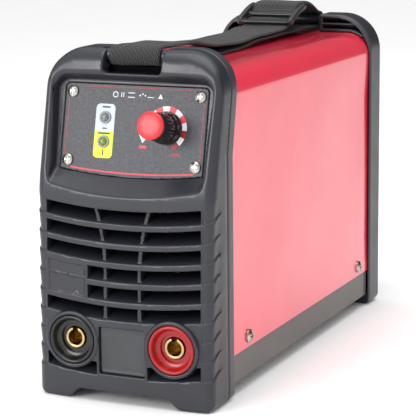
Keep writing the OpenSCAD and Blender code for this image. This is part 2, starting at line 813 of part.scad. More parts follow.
module pcb_standoffs() {
    color([0.75, 0.65, 0.35]) for (p = standoff_spots) translate([p[0], p[1], tray_z + 2.02])
        cylinder(r = 3.2, h = pcb_z - tray_z - 2.06, $fn = 6);
}

// Finned heatsink standing on the board
module heatsink(x0) {
    w = 32;
    translate([x0, mid_y - 48, pcb_top + 0.05]) difference() {
        cube([w, 122, 72]);
        for (i = [0 : 8]) translate([4 + i * 3.05, -1, 5]) cube([1.7, 124, 70]);
    }
}

module left_heatsink() { color([0.72, 0.73, 0.75]) heatsink(-48); }

module right_heatsink() { color([0.72, 0.73, 0.75]) heatsink(16); }

// Rows of power transistors on the heatsinks' inner faces
module power_transistors() {
    color([0.08, 0.08, 0.08]) for (s = [-1, 1], i = [0 : 3])
        translate([s > 0 ? 10.8 : -15.8, mid_y - 36 + i * 28, pcb_top + 12]) cube([5, 16, 21]);
}

module transformer_core() {
    color([0.20, 0.20, 0.21]) translate([24, mid_y - 70, pcb_top + 0.05]) difference() {
        translate([-22, -16, 0]) cube([44, 32, 42]);
        for (s = [-1, 1]) translate([s * 12 - 5.2, -17, 8]) cube([10.4, 34, 26]);
    }
}

module transformer_windings() {
    color([0.78, 0.60, 0.20]) translate([24, mid_y - 70, pcb_top + 8.1]) difference() {
        translate([-15.5, -22, 0]) cube([31, 44, 25.8]);
        translate([-6.9, -16.1, -1]) cube([13.8, 32.2, 30]);
    }
}

module output_choke() {
    color([0.72, 0.50, 0.16]) translate([-26, mid_y - 70, pcb_top + 9.1])
        rotate_extrude() translate([13, 0]) circle(r = 9, $fn = 32);
}

module filter_capacitors() {
    color([0.10, 0.12, 0.30]) for (x = [-31, 0, 31])
        translate([x, mid_y + 92, pcb_top + 0.05]) cylinder(r = 13, h = 42);
}

module rectifier_bridge() {
    color([0.10, 0.10, 0.10]) translate([-7, mid_y + 44, pcb_top + 0.05]) cube([14, 26, 16]);
}

module inrush_relay() {
    color([0.12, 0.25, 0.55]) translate([-9, mid_y - 6, pcb_top + 0.05]) cube([18, 22, 10]);
}

module control_pcb() {
    color([0.05, 0.30, 0.14]) on_panel() translate([-38, 13.05, -18]) cube([76, 1.6, 36]);
}

front_frame();
rear_frame();
top_cover();
base_tray();
cover_screws();
control_panel();
panel_screws();
led_bezels();
power_led();
fault_led();
pot_body();
pot_nut();
pot_shaft();
current_knob();
knob_cap();
negative_socket();
positive_socket();
negative_contact();
positive_contact();
socket_nuts();
output_busbars();
blank_plate();
front_strap_bar();
rear_strap_bar();
strap_front_loop();
strap_rear_loop();
strap_upper();
strap_lower();
strap_buckle();
fan_frame();
fan_rotor();
fan_screws();
fan_guard();
switch_housing();
switch_rocker();
cable_gland();
gland_nut();
mains_cable();
mains_plug();
plug_pins();
main_pcb();
pcb_standoffs();
left_heatsink();
right_heatsink();
power_transistors();
transformer_core();
transformer_windings();
output_choke();
filter_capacitors();
rectifier_bridge();
inrush_relay();
control_pcb();
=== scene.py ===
import json
import math

import bpy
import numpy as np
import openvdb
from mathutils import Matrix, Vector


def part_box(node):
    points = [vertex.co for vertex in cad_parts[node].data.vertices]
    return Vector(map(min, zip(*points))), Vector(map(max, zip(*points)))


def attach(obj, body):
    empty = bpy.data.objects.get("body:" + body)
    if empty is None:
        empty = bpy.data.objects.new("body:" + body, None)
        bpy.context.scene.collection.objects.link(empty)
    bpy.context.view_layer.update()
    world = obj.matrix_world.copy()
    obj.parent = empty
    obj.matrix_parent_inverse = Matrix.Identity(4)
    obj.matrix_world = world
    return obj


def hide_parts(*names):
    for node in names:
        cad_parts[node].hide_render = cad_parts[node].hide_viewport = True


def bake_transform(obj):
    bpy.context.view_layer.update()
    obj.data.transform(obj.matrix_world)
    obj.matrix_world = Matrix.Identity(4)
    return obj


# Looks of a stick welding inverter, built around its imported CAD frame.
# Shapes are worked out in millimetres in the frame's own axes: +Y to the rear, +Z up.

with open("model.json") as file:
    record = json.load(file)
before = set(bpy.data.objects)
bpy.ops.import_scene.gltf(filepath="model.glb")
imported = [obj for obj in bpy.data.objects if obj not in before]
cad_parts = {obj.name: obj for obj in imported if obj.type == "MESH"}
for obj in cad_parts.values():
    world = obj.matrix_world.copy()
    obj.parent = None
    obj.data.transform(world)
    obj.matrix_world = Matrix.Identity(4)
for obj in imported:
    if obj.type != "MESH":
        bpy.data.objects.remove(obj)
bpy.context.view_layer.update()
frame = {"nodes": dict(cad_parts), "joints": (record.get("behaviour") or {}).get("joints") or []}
scene = bpy.context.scene
MM = 0.001


# --- places taken from the frame ---

def box_mm(node):
    """Lowest and highest corner of a CAD node, in millimetres."""
    lo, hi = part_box(node)
    return lo / MM, hi / MM


def middle(node):
    lo, hi = box_mm(node)
    return (lo + hi) / 2


KNOB_JOINT = next(j for j in frame["joints"] if j["name"] == "knob_turn")
FRONT_LO, FRONT_HI = box_mm("front_frame")
REAR_LO, REAR_HI = box_mm("rear_frame")
COVER_LO, COVER_HI = box_mm("top_cover")
FRONT_Y = round(FRONT_LO.y)
REAR_Y = round(REAR_HI.y)
HALF_W = FRONT_HI.x
BODY_H = FRONT_HI.z
SEAM_GAP = 0.2
SEAM = box_mm("base_tray")[0].y - SEAM_GAP - FRONT_Y
KNOB_POS = Vector(KNOB_JOINT["pos_m"]) / MM
LEAN = math.asin(Vector(KNOB_JOINT["axis"]).z)
SOCKET = middle("positive_socket")
BAR_FRONT = middle("front_strap_bar")
BAR_REAR = middle("rear_strap_bar")
FAN = middle("fan_rotor")
SWITCH = middle("switch_housing")
GLAND = middle("cable_gland")

# The leaning control panel: x to the right, y into the machine, z up the panel.
PANEL_UP = Vector((0, math.sin(LEAN), math.cos(LEAN)))
DIAL_RISE = 1
PANEL_AT = Vector((0, KNOB_POS.y, KNOB_POS.z)) - DIAL_RISE * PANEL_UP
PANEL = Matrix.Translation(PANEL_AT) @ Matrix.Rotation(-LEAN, 4, "X")
DIAL_X = KNOB_POS.x


# --- distance fields ---

def smooth(lo, hi, v):
    """0 below lo, 1 above hi, and a smooth step between."""
    t = np.clip((v - lo) / (hi - lo), 0, 1)
    return t * t * (3 - 2 * t)


def meet(a, b, r=0.0):
    """What is inside both, with the outer edge rounded to radius r."""
    return np.minimum(np.maximum(a, b), -r) + np.hypot(np.maximum(a + r, 0), np.maximum(b + r, 0))


def join(a, b, r=0.0):
    """Both together, with the inner corner filled to radius r."""
    return -meet(-a, -b, r)


def cut(a, b, r=0.0):
    """a without b, with the edge rounded to radius r."""
    return meet(a, -b, r)


def all_of(*parts):
    out = parts[0]
    for part in parts[1:]:
        out = np.maximum(out, part)
    return out


def soft_max(a, b, k):
    h = np.maximum(k - np.abs(a - b), 0) / k
    return np.maximum(a, b) + h * h * k / 4


def corner_box(ax, az, r):
    """Rounded corner of radius r between two flat sides at ax = 0 and az = 0."""
    px = ax + r
    pz = az + r
    return np.hypot(np.maximum(px, 0), np.maximum(pz, 0)) + np.minimum(np.maximum(px, pz), 0) - r


# --- meshes ---

def add_mesh(name, points, faces, material, flat=False):
    """A mesh object in the scene, from points in millimetres."""
    mesh = bpy.data.meshes.new(name)
    mesh.from_pydata((np.asarray(points) * MM).tolist(), [], faces)
    mesh.validate()
    if not flat:
        mesh.shade_smooth()
    mesh.materials.append(material)
    obj = bpy.data.objects.new(name, mesh)
    scene.collection.objects.link(obj)
    return obj


def own(obj, body, node=None):
    """Hide the CAD node a piece stands in for, and attach the piece to the body it rides."""
    if node:
        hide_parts(node)
    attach(obj, body)


def tube_faces(rows, n, closed=False):
    """Faces between rows of n points each, every row being a closed loop."""
    faces = []
    for i in range(rows if closed else rows - 1):
        here, there = i * n, (i + 1) % rows * n
        for j in range(n):
            k = (j + 1) % n
            faces.append((here + j, there + j, there + k, here + k))
    return faces


def gradient(field, p, eps):
    """Central differences of the field at the points p."""
    g = np.empty_like(p)
    for i in range(3):
        d = np.zeros(3)
        d[i] = eps
        g[:, i] = (field(*(p + d).T) - field(*(p - d).T)) / (2 * eps)
    return g


SLOPE_STEP = 0.05
NORMAL_STEP = 0.12
PULLS = 2


def sculpt(name, field, lo, hi, step, material, place, adapt=0.02, tone=None):
    """Mesh of the surface where field(x, y, z) is 0, with its vertices pulled onto it."""
    start = np.asarray(lo, float) - 2 * step
    count = np.ceil((np.asarray(hi, float) + 2 * step - start) / step).astype(int) + 1
    x, y, z = (start[i] + step * np.arange(count[i]) for i in range(3))
    values = field(
        x.astype(np.float32)[:, None, None],
        y.astype(np.float32)[None, :, None],
        z.astype(np.float32)[None, None, :],
    )
    reach = 3 * step
    values = np.broadcast_to(np.clip(values, -reach, reach), count).astype(np.float32)
    grid = openvdb.FloatGrid(reach)
    grid.copyFromArray(np.ascontiguousarray(values))
    points, tris, quads = grid.convertToPolygons(0.0, adapt)
    p = start + step * points.astype(float)
    for _ in range(PULLS):
        g = gradient(field, p, SLOPE_STEP)
        size = np.maximum((g * g).sum(1, keepdims=True), 0.05)
        move = -field(*p.T)[:, None] * g / size
        far = np.maximum(np.linalg.norm(move, axis=1, keepdims=True), 1e-9)
        p += move * np.minimum(1, 0.6 * step / far)
    normal = gradient(field, p, NORMAL_STEP)
    normal /= np.maximum(np.linalg.norm(normal, axis=1, keepdims=True), 1e-9)
    turn = np.array(place.to_3x3())
    placed = p @ turn.T + np.array(place.translation)
    obj = add_mesh(name, placed, tris.tolist() + quads.tolist(), material)
    obj.data.normals_split_custom_set_from_vertices((normal @ turn.T).tolist())
    if tone is not None:
        layer = obj.data.attributes.new("tone", "FLOAT", "POINT")
        layer.data.foreach_set("value", tone(*p.T).astype(np.float32))
    return obj


def carve(name, field, lo, hi, step, look, place, node, body="root", **how):
    """Sculpt a piece that stands for a CAD node; look is its material and a slot name, and the slot name
    is not used.
    """
    own(sculpt(name, field, lo, hi, step, look[0], place, **how), body, node)


# --- materials ---

class Nodes:
    """A node tree, with short calls for the nodes used here."""

    def __init__(self, tree):
        self.tree = tree

    def add(self, kind, **settings):
        node = self.tree.nodes.new(kind)
        for key, value in settings.items():
            setattr(node, key, value)
        return node

    def put(self, socket, value):
        if isinstance(value, bpy.types.NodeSocket):
            self.tree.links.new(value, socket)
        elif isinstance(value, tuple) and len(value) == 3 and len(socket.default_value) == 4:
            socket.default_value = (*value, 1)
        else:
            socket.default_value = value

    def math(self, op, a, b=0.0, c=0.0):
        node = self.add("ShaderNodeMath", operation=op)
        for socket, value in zip(node.inputs, (a, b, c)):
            self.put(socket, value)
        return node.outputs[0]

    def remap(self, value, lo, hi, out_lo=0.0, out_hi=1.0):
        node = self.add("ShaderNodeMapRange")
        keys = ("Value", "From Min", "From Max", "To Min", "To Max")
        for key, v in zip(keys, (value, lo, hi, out_lo, out_hi)):
            self.put(node.inputs[key], v)
        return node.outputs["Result"]

    def mix(self, factor, a, b):
        node = self.add("ShaderNodeMix", data_type="RGBA")
        self.put(node.inputs[0], factor)
        self.put(node.inputs[6], a)
        self.put(node.inputs[7], b)
        return node.outputs[2]


class Paint(Nodes):
    """A surface material on its own node tree."""

    def __init__(self, name, rough=0.5, metal=0.0, **inputs):
        self.material = bpy.data.materials.new(name)
        self.material.use_nodes = True
        super().__init__(self.material.node_tree)
        self.bsdf = self.tree.nodes["Principled BSDF"]
        self.place = self.add("ShaderNodeTexCoord").outputs["Object"]
        self.set("Roughness", rough)
        self.set("Metallic", metal)
        for key, value in inputs.items():
            self.set(key.replace("_", " "), value)

    def set(self, name, value):
        self.put(self.bsdf.inputs[name], value)

    def noise(self, size, detail=2.0, stretch=(1, 1, 1)):
        """Noise with features of about size millimetres."""
        mapping = self.add("ShaderNodeMapping")
        self.put(mapping.inputs["Vector"], self.place)
        self.put(mapping.inputs["Scale"], Vector(stretch))
        node = self.add("ShaderNodeTexNoise")
        self.put(node.inputs["Vector"], mapping.outputs["Vector"])
        self.put(node.inputs["Scale"], 1 / (size * MM))
        self.put(node.inputs["Detail"], detail)
        return node.outputs["Fac"]

    def edges(self, lo=0.52, hi=0.6):
        """1 on sharp outer edges, 0 elsewhere."""
        pointed = self.add("ShaderNodeNewGeometry").outputs["Pointiness"]
        return self.remap(pointed, lo, hi)

    def bump(self, *layers):
        """Bumps stacked in order; each layer is (height, depth in millimetres)."""
        normal = None
        for height, depth in layers:
            node = self.add("ShaderNodeBump")
            self.put(node.inputs["Height"], height)
            self.put(node.inputs["Distance"], depth * MM)
            if normal is not None:
                self.put(node.inputs["Normal"], normal)
            normal = node.outputs["Normal"]
        self.set("Normal", normal)


def times(colour, factor):
    return tuple(min(1, c * factor) for c in colour)


def moulded(name, colour, rough, depth, worn=0.25, grain=0.35, toned=False):
    """Moulded plastic: fine grain, uneven sheen and lighter edges."""
    m = Paint(name, IOR=1.5)
    cloudy = m.noise(18, 4)
    light = tuple(min(1, c * 1.35 + 0.012) for c in colour)
    base = m.mix(m.remap(cloudy, 0.35, 0.65), colour, times(colour, 0.86))
    scuff = m.math("MULTIPLY", m.edges(), m.remap(m.noise(3, 5), 0.35, 0.7, 0.2, 1))
    base = m.mix(m.math("MULTIPLY", scuff, worn), base, light)
    # The tone attribute paints light and shade: negative tone is painted shade, towards near-black with
    # weaker reflections; positive tone paints the colour lighter.
    if toned:
        tone = m.add("ShaderNodeAttribute", attribute_name="tone").outputs["Fac"]
        base = m.mix(m.remap(tone, 0, 1), base, tuple(c * 2.1 + 0.02 for c in colour))
        base = m.mix(m.remap(tone, 0, -1), base, (0.001, 0.001, 0.001))
        m.set("Specular IOR Level", m.remap(tone, -1, 0, 0.02, 0.5))
    m.set("Base Color", base)
    fine = m.noise(grain, 2)
    m.set("Roughness", m.math("ADD", m.remap(cloudy, 0.3, 0.7, rough - 0.04, rough + 0.05),
                              m.remap(fine, 0.3, 0.7, -0.03, 0.03)))
    m.bump((fine, depth), (cloudy, 0.04))
    return m.material


def painted_sheet(name, colour, coat=1.0, rough=0.32):
    """Gloss powder paint on sheet metal: orange peel, faint dust and fine scratches."""
    m = Paint(name, IOR=1.5, Coat_Weight=coat, Coat_IOR=1.68)
    patch = m.noise(40, 3)
    base = m.mix(m.remap(patch, 0.35, 0.65), colour, times(colour, 0.93))
    chips = m.math("MULTIPLY", m.edges(0.53, 0.62), m.remap(m.noise(1.2, 3), 0.55, 0.62))
    m.set("Base Color", m.mix(chips, base, times(colour, 0.5)))
    scratch = m.remap(m.noise(1.5, 3, (1, 0.05, 1)), 0.62, 0.72)
    peel = m.noise(1.6, 1)
    m.set("Roughness", m.remap(patch, 0.3, 0.7, rough, rough + 0.06))
    m.set("Coat Roughness", m.math("MULTIPLY_ADD", scratch, 0.10, 0.05))
    m.bump((patch, 0.10), (peel, 0.012), (m.noise(0.3, 1), 0.002))
    return m.material


def metal(name, colour, rough, brushed=(1, 1, 1), stain=0.6):
    """Plated or turned metal with fine tool marks and darker patches."""
    m = Paint(name, metal=1.0)
    mark = m.noise(0.4, 3, brushed)
    patch = m.noise(5, 4)
    base = m.mix(m.remap(patch, 0.45, 0.7), colour, times(colour, stain))
    m.set("Base Color", m.mix(m.edges(), base, times(colour, 1.15)))
    m.set("Roughness", m.math("ADD", m.remap(patch, 0.3, 0.7, rough - 0.06, rough + 0.08),
                              m.remap(mark, 0.3, 0.7, -0.05, 0.05)))
    m.bump((mark, 0.012))
    return m.material


def panel_print(name):
    """Black printed overlay in an orange-peel grain, with fine glints painted in as light specks."""
    m = Paint(name, IOR=1.5)
    grain = m.noise(1.5, 2)
    painted_glints = m.remap(m.noise(0.8, 1), 0.6, 0.72)
    base = m.mix(m.remap(grain, 0.35, 0.7), (0.012, 0.012, 0.018), (0.036, 0.038, 0.050))
    # Painted glints: light specks in the colour where the grain would catch light.
    m.set("Base Color", m.mix(m.math("MULTIPLY", painted_glints, 0.5), base, (0.10, 0.10, 0.12)))
    m.set("Roughness", m.remap(grain, 0.3, 0.7, 0.36, 0.5))
    m.bump((grain, 0.05), (m.noise(0.35, 1), 0.015))
    return m.material


def ink(name, colour):
    """Screen-printed ink with slightly uneven cover."""
    m = Paint(name, IOR=1.45)
    thin = m.noise(0.8, 3)
    m.set("Base Color", m.mix(m.remap(thin, 0.4, 0.75, 0, 0.6), colour, times(colour, 0.8)))
    m.set("Roughness", m.remap(thin, 0.3, 0.7, 0.35, 0.48))
    m.bump((thin, 0.01))
    return m.material


TURN = 2 * math.pi
RIB_PITCH = 2.7
YARN_PITCH = 1.5
TWILL_PITCH = 3.0


def webbing_cloth(name, colour, sheen):
    """Woven polyester webbing. Its weave follows the ribbon's own length and width."""
    m = Paint(name, Sheen_Weight=sheen, Sheen_Roughness=0.4, IOR=1.45)
    uv = m.add("ShaderNodeUVMap", uv_map="ribbon").outputs["UV"]
    part = m.add("ShaderNodeSeparateXYZ")
    m.put(part.inputs[0], uv)
    along, across = part.outputs[0], part.outputs[1]
    rib = m.math("SINE", m.math("MULTIPLY", along, TURN / RIB_PITCH))
    yarn = m.math("SINE", m.math("MULTIPLY_ADD", across, TURN / YARN_PITCH, m.math("MULTIPLY", rib, 0.6)))
    step = m.math("SINE", m.math("MULTIPLY", m.math("ADD", along, across), TURN / TWILL_PITCH))
    over = m.math("ADD", m.math("MULTIPLY", rib, yarn), m.math("MULTIPLY", step, 0.4))
    height = m.remap(over, -1.3, 1.3)
    fuzz = m.noise(0.25, 2)
    fade = m.noise(25, 3)
    # Painted light and shade of the weave: hollows darkened as if in shadow, raised yarns lightened as if
    # catching light.
    weave_light_and_shade = m.mix(m.remap(height, 0.35, 0.9), times(colour, 0.2), times(colour, 1.8))
    m.set("Base Color", m.mix(m.remap(fade, 0.3, 0.75, 0, 0.35), weave_light_and_shade, times(colour, 1.7)))
    m.set("Roughness", m.remap(height, 0, 1, 0.75, 0.5))
    m.bump((height, 0.9), (fuzz, 0.05))
    return m.material


def glassy(name, colour):
    """Tinted lens of a lamp."""
    m = Paint(name, 0.12, IOR=1.5, Transmission_Weight=0.35, Coat_Weight=0.5)
    depth = m.noise(1.2, 2)
    m.set("Base Color", m.mix(m.remap(depth, 0.3, 0.7), colour, times(colour, 0.55)))
    m.bump((depth, 0.02))
    return m.material


def board(name):
    """Circuit board: solder mask over faint tracks."""
    m = Paint(name, 0.35, IOR=1.5, Coat_Weight=0.3)
    track = m.remap(m.noise(4, 1, (1, 0.15, 1)), 0.48, 0.52)
    pads = m.remap(m.noise(2.2, 0), 0.70, 0.72)
    base = m.mix(track, (0.010, 0.10, 0.035), (0.016, 0.15, 0.055))
    m.set("Base Color", m.mix(pads, base, (0.55, 0.55, 0.50)))
    m.set("Metallic", m.math("MULTIPLY", pads, 0.8))
    m.bump((track, 0.05), (m.noise(0.5, 2), 0.01))
    return m.material


CHARCOAL = moulded("charcoal_plastic", (0.019, 0.020, 0.027), 0.32, 0.012, worn=0.0,
                   toned=True)
RED_PAINT = painted_sheet("red_paint", (0.80, 0.018, 0.055))
TRAY_PAINT = painted_sheet("tray_paint", (0.095, 0.088, 0.080), coat=0.25, rough=0.5)
PANEL_BLACK = panel_print("panel_black")
KNOB_BLACK = moulded("knob_black", (0.010, 0.010, 0.011), 0.20, 0.006, worn=0.1)
KNOB_RED = moulded("knob_red", (0.78, 0.020, 0.030), 0.34, 0.015, worn=0.1)
SOCKET_BLACK = moulded("socket_black", (0.008, 0.008, 0.009), 0.24, 0.010, worn=0.15)
SOCKET_RED = moulded("socket_red", (0.36, 0.006, 0.008), 0.26, 0.010, worn=0.15)
BLACK_PLASTIC = moulded("buckle_black", (0.013, 0.013, 0.014), 0.30, 0.015, worn=0.5)
GREY_PLASTIC = moulded("bezel_grey", (0.12, 0.125, 0.135), 0.3, 0.01)
BLANK_GREY = moulded("plate_plastic", (0.042, 0.044, 0.048), 0.5, 0.05, grain=0.6)
BRASS = metal("brass", (0.60, 0.45, 0.21), 0.24, stain=0.5)
COPPER = metal("copper", (0.85, 0.45, 0.28), 0.3, stain=0.6)
ZINC = metal("zinc_steel", (0.50, 0.49, 0.45), 0.24, stain=0.45)
STEEL_WIRE = metal("guard_wire", (0.30, 0.30, 0.31), 0.35)
ALUMINIUM = metal("bare_aluminium", (0.78, 0.79, 0.80), 0.38, brushed=(0.1, 1, 1))
WEBBING = webbing_cloth("webbing", (0.024, 0.024, 0.026), sheen=0.12)
# Painted shade: a darker copy of the webbing, for the rear turn and the length lying in shadow under the
# strap.
WEBBING_SHADED = webbing_cloth("webbing_shaded", (0.010, 0.010, 0.011), sheen=0.05)
LENS_CLEAR = glassy("led_clear", (0.30, 0.32, 0.36))
LENS_GREEN = glassy("led_green", (0.30, 0.42, 0.03))
RED_INK = ink("red_ink", (0.70, 0.035, 0.055))
DARK_RED_INK = ink("dark_red_ink", (0.30, 0.010, 0.015))
WHITE_INK = ink("white_ink", (0.72, 0.73, 0.75))
PALE_INK = ink("pale_ink", (0.50, 0.56, 0.68))
LIME_INK = ink("lime_ink", (0.60, 0.78, 0.02))
BLACK_INK = ink("black_ink", (0.015, 0.015, 0.02))
BOARD = board("board_green")
FAN_BLACK = moulded("fan_black", (0.014, 0.014, 0.015), 0.36, 0.02)
CABLE_BLACK = moulded("cable_sheath", (0.018, 0.018, 0.019), 0.55, 0.05, grain=0.8)
ROCKER_RED = moulded("rocker_red", (0.55, 0.012, 0.012), 0.22, 0.006)
COMPONENT = moulded("component_black", (0.022, 0.022, 0.023), 0.45, 0.03)
FERRITE = moulded("ferrite", (0.07, 0.068, 0.066), 0.6, 0.08, grain=0.7)
WINDING = moulded("winding", (0.62, 0.40, 0.06), 0.35, 0.15, grain=1.2)
SLEEVE = moulded("capacitor_sleeve", (0.03, 0.05, 0.16), 0.25, 0.01)
RELAY = moulded("relay_blue", (0.03, 0.09, 0.33), 0.35, 0.02)


# --- front frame ---

SIN = math.sin(LEAN)
COS = math.cos(LEAN)

# The face: a shallow bulge with rounded corners, upright at the foot and leaning twice
BULGE = 600.0
CORNER = 6.5
FACE_SET = 0.8
CROWN_Z = 33.0
FACE_LEAN = math.radians(2)
RIM_SET = 4.2
LIP_Z = 130.0
SEAM_BREAK = 150.0
SEAM_LEAN = math.radians(11)
GROOVE_BACK = 8.5

# Outline and edges
TOP_R = 26.0
FOOT_R = 6.0
BROW_R = 8.0
SOLE_R = 2.5
WALL = 2.6

# Louvres: six rows of openings, and the lines that carry on beside them
DROOP = 3.4
LINE_Z = 113.4
PITCH = 11.7
GAP = 8.2
LINES = 9
BLOCK = 12.0
WINDOW_W = 51.0
SHORT_W = 22.6
LEDGE = 0.93

# Sockets, blank plate and shelf
COLLAR_R = 17.6
COLLAR_Y = 0.3
RING_R = 15.15
RING_DEPTH = 9.0
PLATE_Z = 32.4
PLATE_SEAT = 5.0
SHELF_Y = 4.2

# Strap notch and the channel round the cover, the same in both frames
NOTCH_HALF = 19.2
NOTCH_Z = 197.4
BAR_R = 4.1
BAR_HALF = 22.2
COVER_R = 16.0
COVER_GAP = 0.2
CHANNEL_Z = 169.5
RIB_Z = 205.2


def plan_face(x, y):
    """Plan outline of a front face: a shallow arc between two rounded corners."""
    cx = HALF_W - CORNER
    cy = BULGE - math.sqrt((BULGE - CORNER) ** 2 - cx ** 2)
    dx = np.abs(x) - cx
    dy = y - cy
    in_corner = (cx * dy - (cy - BULGE) * dx) > 0
    arc = np.hypot(x, y - BULGE) - BULGE
    turn = np.hypot(dx, dy) - CORNER
    return np.where(dy > 0, np.maximum(arc, np.abs(x) - HALF_W), np.where(in_corner, turn, arc))


def outline(x, z):
    """Front-view outline of both frames."""
    ax = np.abs(x) - HALF_W
    return np.maximum(corner_box(ax, z - BODY_H, TOP_R), corner_box(ax, -z, FOOT_R))


def levelness(x, rise, r):
    """1 on a level edge, 0 on an upright one; rise is the way past the corner's middle."""
    out = np.maximum(np.abs(x) - (HALF_W - r), 0)
    rise = np.maximum(rise, 0)
    return rise / np.maximum(np.hypot(out, rise), 1e-6)


def edge_radius(x, z):
    """Edge radius that fades out where the outline turns from level to upright."""
    return BROW_R * levelness(x, z - BODY_H + TOP_R, TOP_R) + SOLE_R * levelness(x, FOOT_R - z, FOOT_R)


def foot_gap(x, z):
    """Opening between the two feet."""
    slope = (np.abs(x) - 37.0 + z * 7.3 / 7.0) * 0.692
    return meet(z - 7.0, slope, 2.0)


def cover_dist(x, z):
    """Distance to the cover's outside, seen from the front."""
    return corner_box(np.abs(x) - COVER_HI.x, z - COVER_HI.z, COVER_R)


def notch_air(x, z):
    """Slot in a frame's top edge that the strap passes through."""
    return corner_box(np.abs(x) - NOTCH_HALF, NOTCH_Z - z, 3.0)


def bar_air(x, dy, dz):
    """Hole for a strap bar, given the way from its middle line."""
    return np.maximum(np.hypot(dy, dz) - BAR_R, np.abs(x) - BAR_HALF)


def channel_air(x, z, back):
    """Channel in a frame's inner face round the cover, with one rib left in it."""
    rib = 0.9 - np.abs(z - RIB_Z)
    shell = outline(x, z) + 3
    return all_of(back, shell, 2.4 - cover_dist(x, z), CHANNEL_Z - z, 22.4 - np.abs(x), rib)


def seam_dist(y, z):
    """How far a point lies behind the front frame's rear edge, which leans at the top."""
    leaning = (y - SEAM - (z - SEAM_BREAK) * math.tan(SEAM_LEAN)) * math.cos(SEAM_LEAN)
    return np.minimum(y - SEAM, leaning)


def panel_coords(y, z):
    """Depth behind the control panel's face, and height up the panel."""
    dy = y + FRONT_Y - PANEL_AT.y
    dz = z - PANEL_AT.z
    return dy * COS - dz * SIN, dy * SIN + dz * COS


def panel_edge(x):
    """Height of the panel plate's arched lower edge."""
    return -29.5 + 2.9 * (x / SCREW_X) ** 2


def droop(x):
    """How far the face's lines sag below their ends."""
    return DROOP * (1 - np.minimum(1, (x / WINDOW_W) ** 2))


def shingles(x, y, z):
    """Depth of the shingle steps that carry the louvre lines around the corners."""
    row = (z + droop(x) - 5.0 * smooth(3.5, 17, y) - LINE_Z) / PITCH
    part = row - np.floor(row)
    depth = np.where(part < LEDGE, 1 - part / LEDGE, (part - LEDGE) / (1 - LEDGE))
    inside = (row < LEDGE) & (row > -LINES + LEDGE)
    fade = smooth(51.4, 52.6, np.abs(x)) * (1 - smooth(11, 21, y))
    return 0.9 * depth * inside * fade


def badge(x, y, z):
    """Shallow blank name recess beside two of the louvre rows, with the line across it."""
    level = z + droop(x)
    d = np.maximum(np.abs(x + 37.3) - 12.9, np.abs(level - 76.4) - 9.7)
    inside = (1 - smooth(-0.7, 0.0, d)) * (y < 25)
    return inside * (0.7 - 0.6 * np.exp(-(((level - LINE_Z + 3 * PITCH) / 0.4) ** 2)))


def front_outer(x, y, z):
    """Outside of the front frame, without its openings."""
    upright = plan_face(x, y - FACE_SET)
    back = (y - FACE_SET) * math.cos(FACE_LEAN) - (z - CROWN_Z) * math.sin(FACE_LEAN)
    lower = soft_max(upright, plan_face(x, back), 1.0)
    back = (y - RIM_SET) * COS - (z - LIP_Z) * SIN
    solid = soft_max(lower, plan_face(x, back), 1.2)
    solid = meet(solid, outline(x, z), edge_radius(x, z))
    solid = cut(solid, foot_gap(x, z), 1.2)
    groove = 0.9 * np.exp(-(((seam_dist(y, z) + GROOVE_BACK) / 0.6) ** 2))
    return solid + shingles(x, y, z) + badge(x, y, z) + groove


def shelf_height(x, y):
    """The shelf rises from the lip to the panel's lower edge. Both sag in the middle."""
    span = (x / 47.0) ** 2
    low = 126.5 + 3.0 * span
    top = 136.1 + 3.4 * span
    back = PANEL_AT.y - FRONT_Y + (top - PANEL_AT.z) * SIN / COS
    t = np.clip((y - SHELF_Y) / (back - SHELF_Y), -0.5, 1)
    return low + (top - low) * t


def window(x, y, z):
    """Air in front of the control panel, over the sloping shelf."""
    depth, up = panel_coords(y, z)
    half = WINDOW_W - 1.0 + 1.6 * smooth(-26, 28, up) - 0.09 * np.clip(depth, -14, 0)
    roof = 28.4 - 0.2 * np.clip(depth, -14, 0)
    frame_air = corner_box(np.abs(x) - half, up - roof, 8.0)
    floor = (shelf_height(x, y) - z) * 0.86
    air = meet(frame_air, floor, 2.2)
    return meet(air, depth, 1.0)


def louvre_air(x, z, deep):
    """The six rows of louvre openings, with their dividers left standing."""
    level_z = z + droop(x)
    t = level_z - LINE_Z - GAP / 2
    row = np.floor(t / PITCH + 0.5)
    local = t - row * PITCH
    rise = 0.5 * np.clip(deep, 0, BLOCK)
    level = np.maximum(rise - GAP / 2 - local, local - GAP / 2)
    short = (row == -3) | (row == -4)
    left = -x - np.where(short, SHORT_W, WINDOW_W)
    rows = all_of(level, left, x - WINDOW_W, level_z - LINE_Z - GAP - 1, 52.5 - level_z)
    column = 11.4 + 5.6 * (np.maximum(0, z - 80) / 37) ** 2
    post = np.maximum(np.abs(np.abs(x) - column) - 1.2, 1.7 - deep)
    return cut(rows, post, 0.3)


def inner_air(x, y, z, outer):
    """The hollow behind the face, clear of the slats, the panel's tub and the plate's seat."""
    ax = np.abs(x)
    depth = panel_coords(y, z)[0]
    block = smooth(12, 13, z) * (1 - smooth(125, 126, z)) * (1 - smooth(52.5, 53.5, ax))
    hollow = all_of(outer + WALL + (BLOCK - WALL) * block, z - (COVER_HI.z - 3), 2.8 - z)
    tub = all_of(depth - 6, 127 - z, ax - 54)
    seat = all_of(ax - 17, np.abs(z - PLATE_Z) - 16, y - PLATE_SEAT - 3)
    return all_of(hollow, -tub, -seat)


def vent_air(x, y, z, deep):
    """The short vents beside the blank plate, below the sockets."""
    ax = np.abs(x)
    low = z + droop(x) - LINE_Z + 8 * PITCH
    return all_of(17 - ax, ax - WINDOW_W, 0.6 * np.clip(deep, 0, BLOCK) - low, low - GAP, y - 40)


